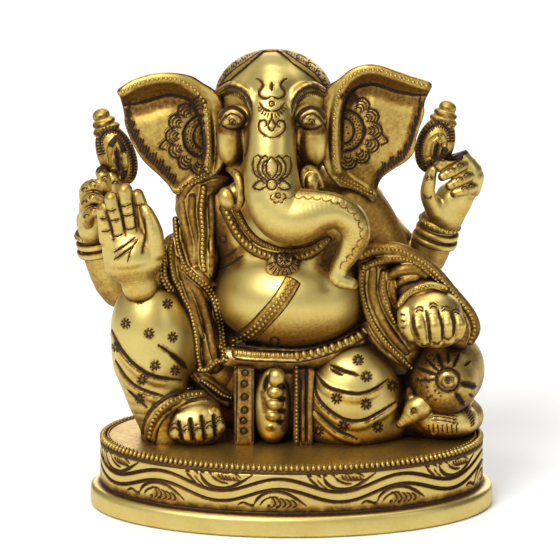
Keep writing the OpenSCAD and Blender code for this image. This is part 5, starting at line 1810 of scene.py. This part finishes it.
def make_stage():
    bpy.ops.mesh.primitive_plane_add(size=40)
    floor = bpy.context.object
    floor.name = "floor"
    material = bpy.data.materials.new("floor")
    material.use_nodes = True
    nodes, links = material.node_tree.nodes, material.node_tree.links
    shader = nodes["Principled BSDF"]
    shader.inputs["Base Color"].default_value = (0.93, 0.93, 0.93, 1)
    shader.inputs["Roughness"].default_value = 0.9
    shader.inputs["Specular IOR Level"].default_value = 0.1
    floor.data.materials.append(material)

    def panel(name, place, size, power, colour=(1, 1, 1)):
        light = bpy.data.lights.new(name, "AREA")
        light.shape = "RECTANGLE"
        light.size, light.size_y = size
        light.energy = power
        light.color = colour
        holder = bpy.data.objects.new(name, light)
        holder.location = place
        holder.rotation_euler = (Vector((0, 0, 0.08)) - Vector(place)).to_track_quat("-Z", "Y").to_euler()
        bpy.context.scene.collection.objects.link(holder)

    panel("key", (-0.6, -1.1, 1.3), (0.8, 0.7), 23)
    panel("fill", (1.2, -0.9, 0.7), (0.4, 0.7), 2.5)
    panel("top", (0.1, 0.2, 1.5), (1.2, 0.9), 9)
    panel("back", (0.2, 1.6, 0.6), (1.8, 0.9), 14)

    world = bpy.data.worlds.new("studio")
    world.use_nodes = True
    nodes, links = world.node_tree.nodes, world.node_tree.links
    spread = nodes.new("ShaderNodeTexCoord").outputs["Generated"]
    split = nodes.new("ShaderNodeVectorMath")
    split.operation = "DOT_PRODUCT"
    split.inputs[1].default_value = (-0.55, -0.55, 0.35)
    links.new(spread, split.inputs[0])
    stops = [(0.0, (0.05, 0.04, 0.03)), (0.45, (0.12, 0.105, 0.09)), (0.80, (0.55, 0.55, 0.53))]
    lean = maths(nodes, links, "ADD", maths(nodes, links, "MULTIPLY", split.outputs["Value"], 0.6), 0.5)
    links.new(tinted(nodes, links, lean, stops), nodes["Background"].inputs["Color"])
    nodes["Background"].inputs["Strength"].default_value = 1.0
    bpy.context.scene.world = world
    bpy.context.scene.view_settings.view_transform = "Standard"


def make_camera():
    """A long lens that looks down at TILT on the middle of the statue."""
    distance, width = 3.0, 0.1839
    middle = (-3.8, 72.6)
    data = bpy.data.cameras.new("camera")
    data.sensor_width = 36
    data.lens = data.sensor_width * distance / width
    data.clip_start, data.clip_end = 0.1, 60
    camera = bpy.data.objects.new("camera", data)
    place = (RIGHT * middle[0] + UP * middle[1]) * MM - AWAY * distance
    camera.matrix_world = Matrix((
        (RIGHT[0], UP[0], -AWAY[0], place[0]),
        (RIGHT[1], UP[1], -AWAY[1], place[1]),
        (RIGHT[2], UP[2], -AWAY[2], place[2]),
        (0, 0, 0, 1),
    ))
    bpy.context.scene.collection.objects.link(camera)
    bpy.context.scene.camera = camera


make_camera()
make_stage()
for make in (
    make_torso, make_back_shawl, make_head, make_hair_cap, make_eyes,
    lambda: make_ear("right_ear"), lambda: make_ear("left_ear"), make_tusks,
    make_right_leg, make_left_leg, make_right_foot, make_hem, make_left_foot, make_dhoti, make_belt,
    make_necklace, make_pendant, make_thread, make_right_scarf, make_left_scarf,
    make_arms, make_rear_hands, make_front_right_hand, make_front_left_hand, make_cushion, make_mouse,
):
    make()
finish_forms()
for make in (make_flange, make_drum, make_vine, make_plate, make_rim):
    make()
for node in ("fixing_screw", "fixing_washer"):
    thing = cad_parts[node]
    for slot_index in range(len(thing.material_slots)):
        thing.material_slots[slot_index].material = MATERIALS[ZINC]
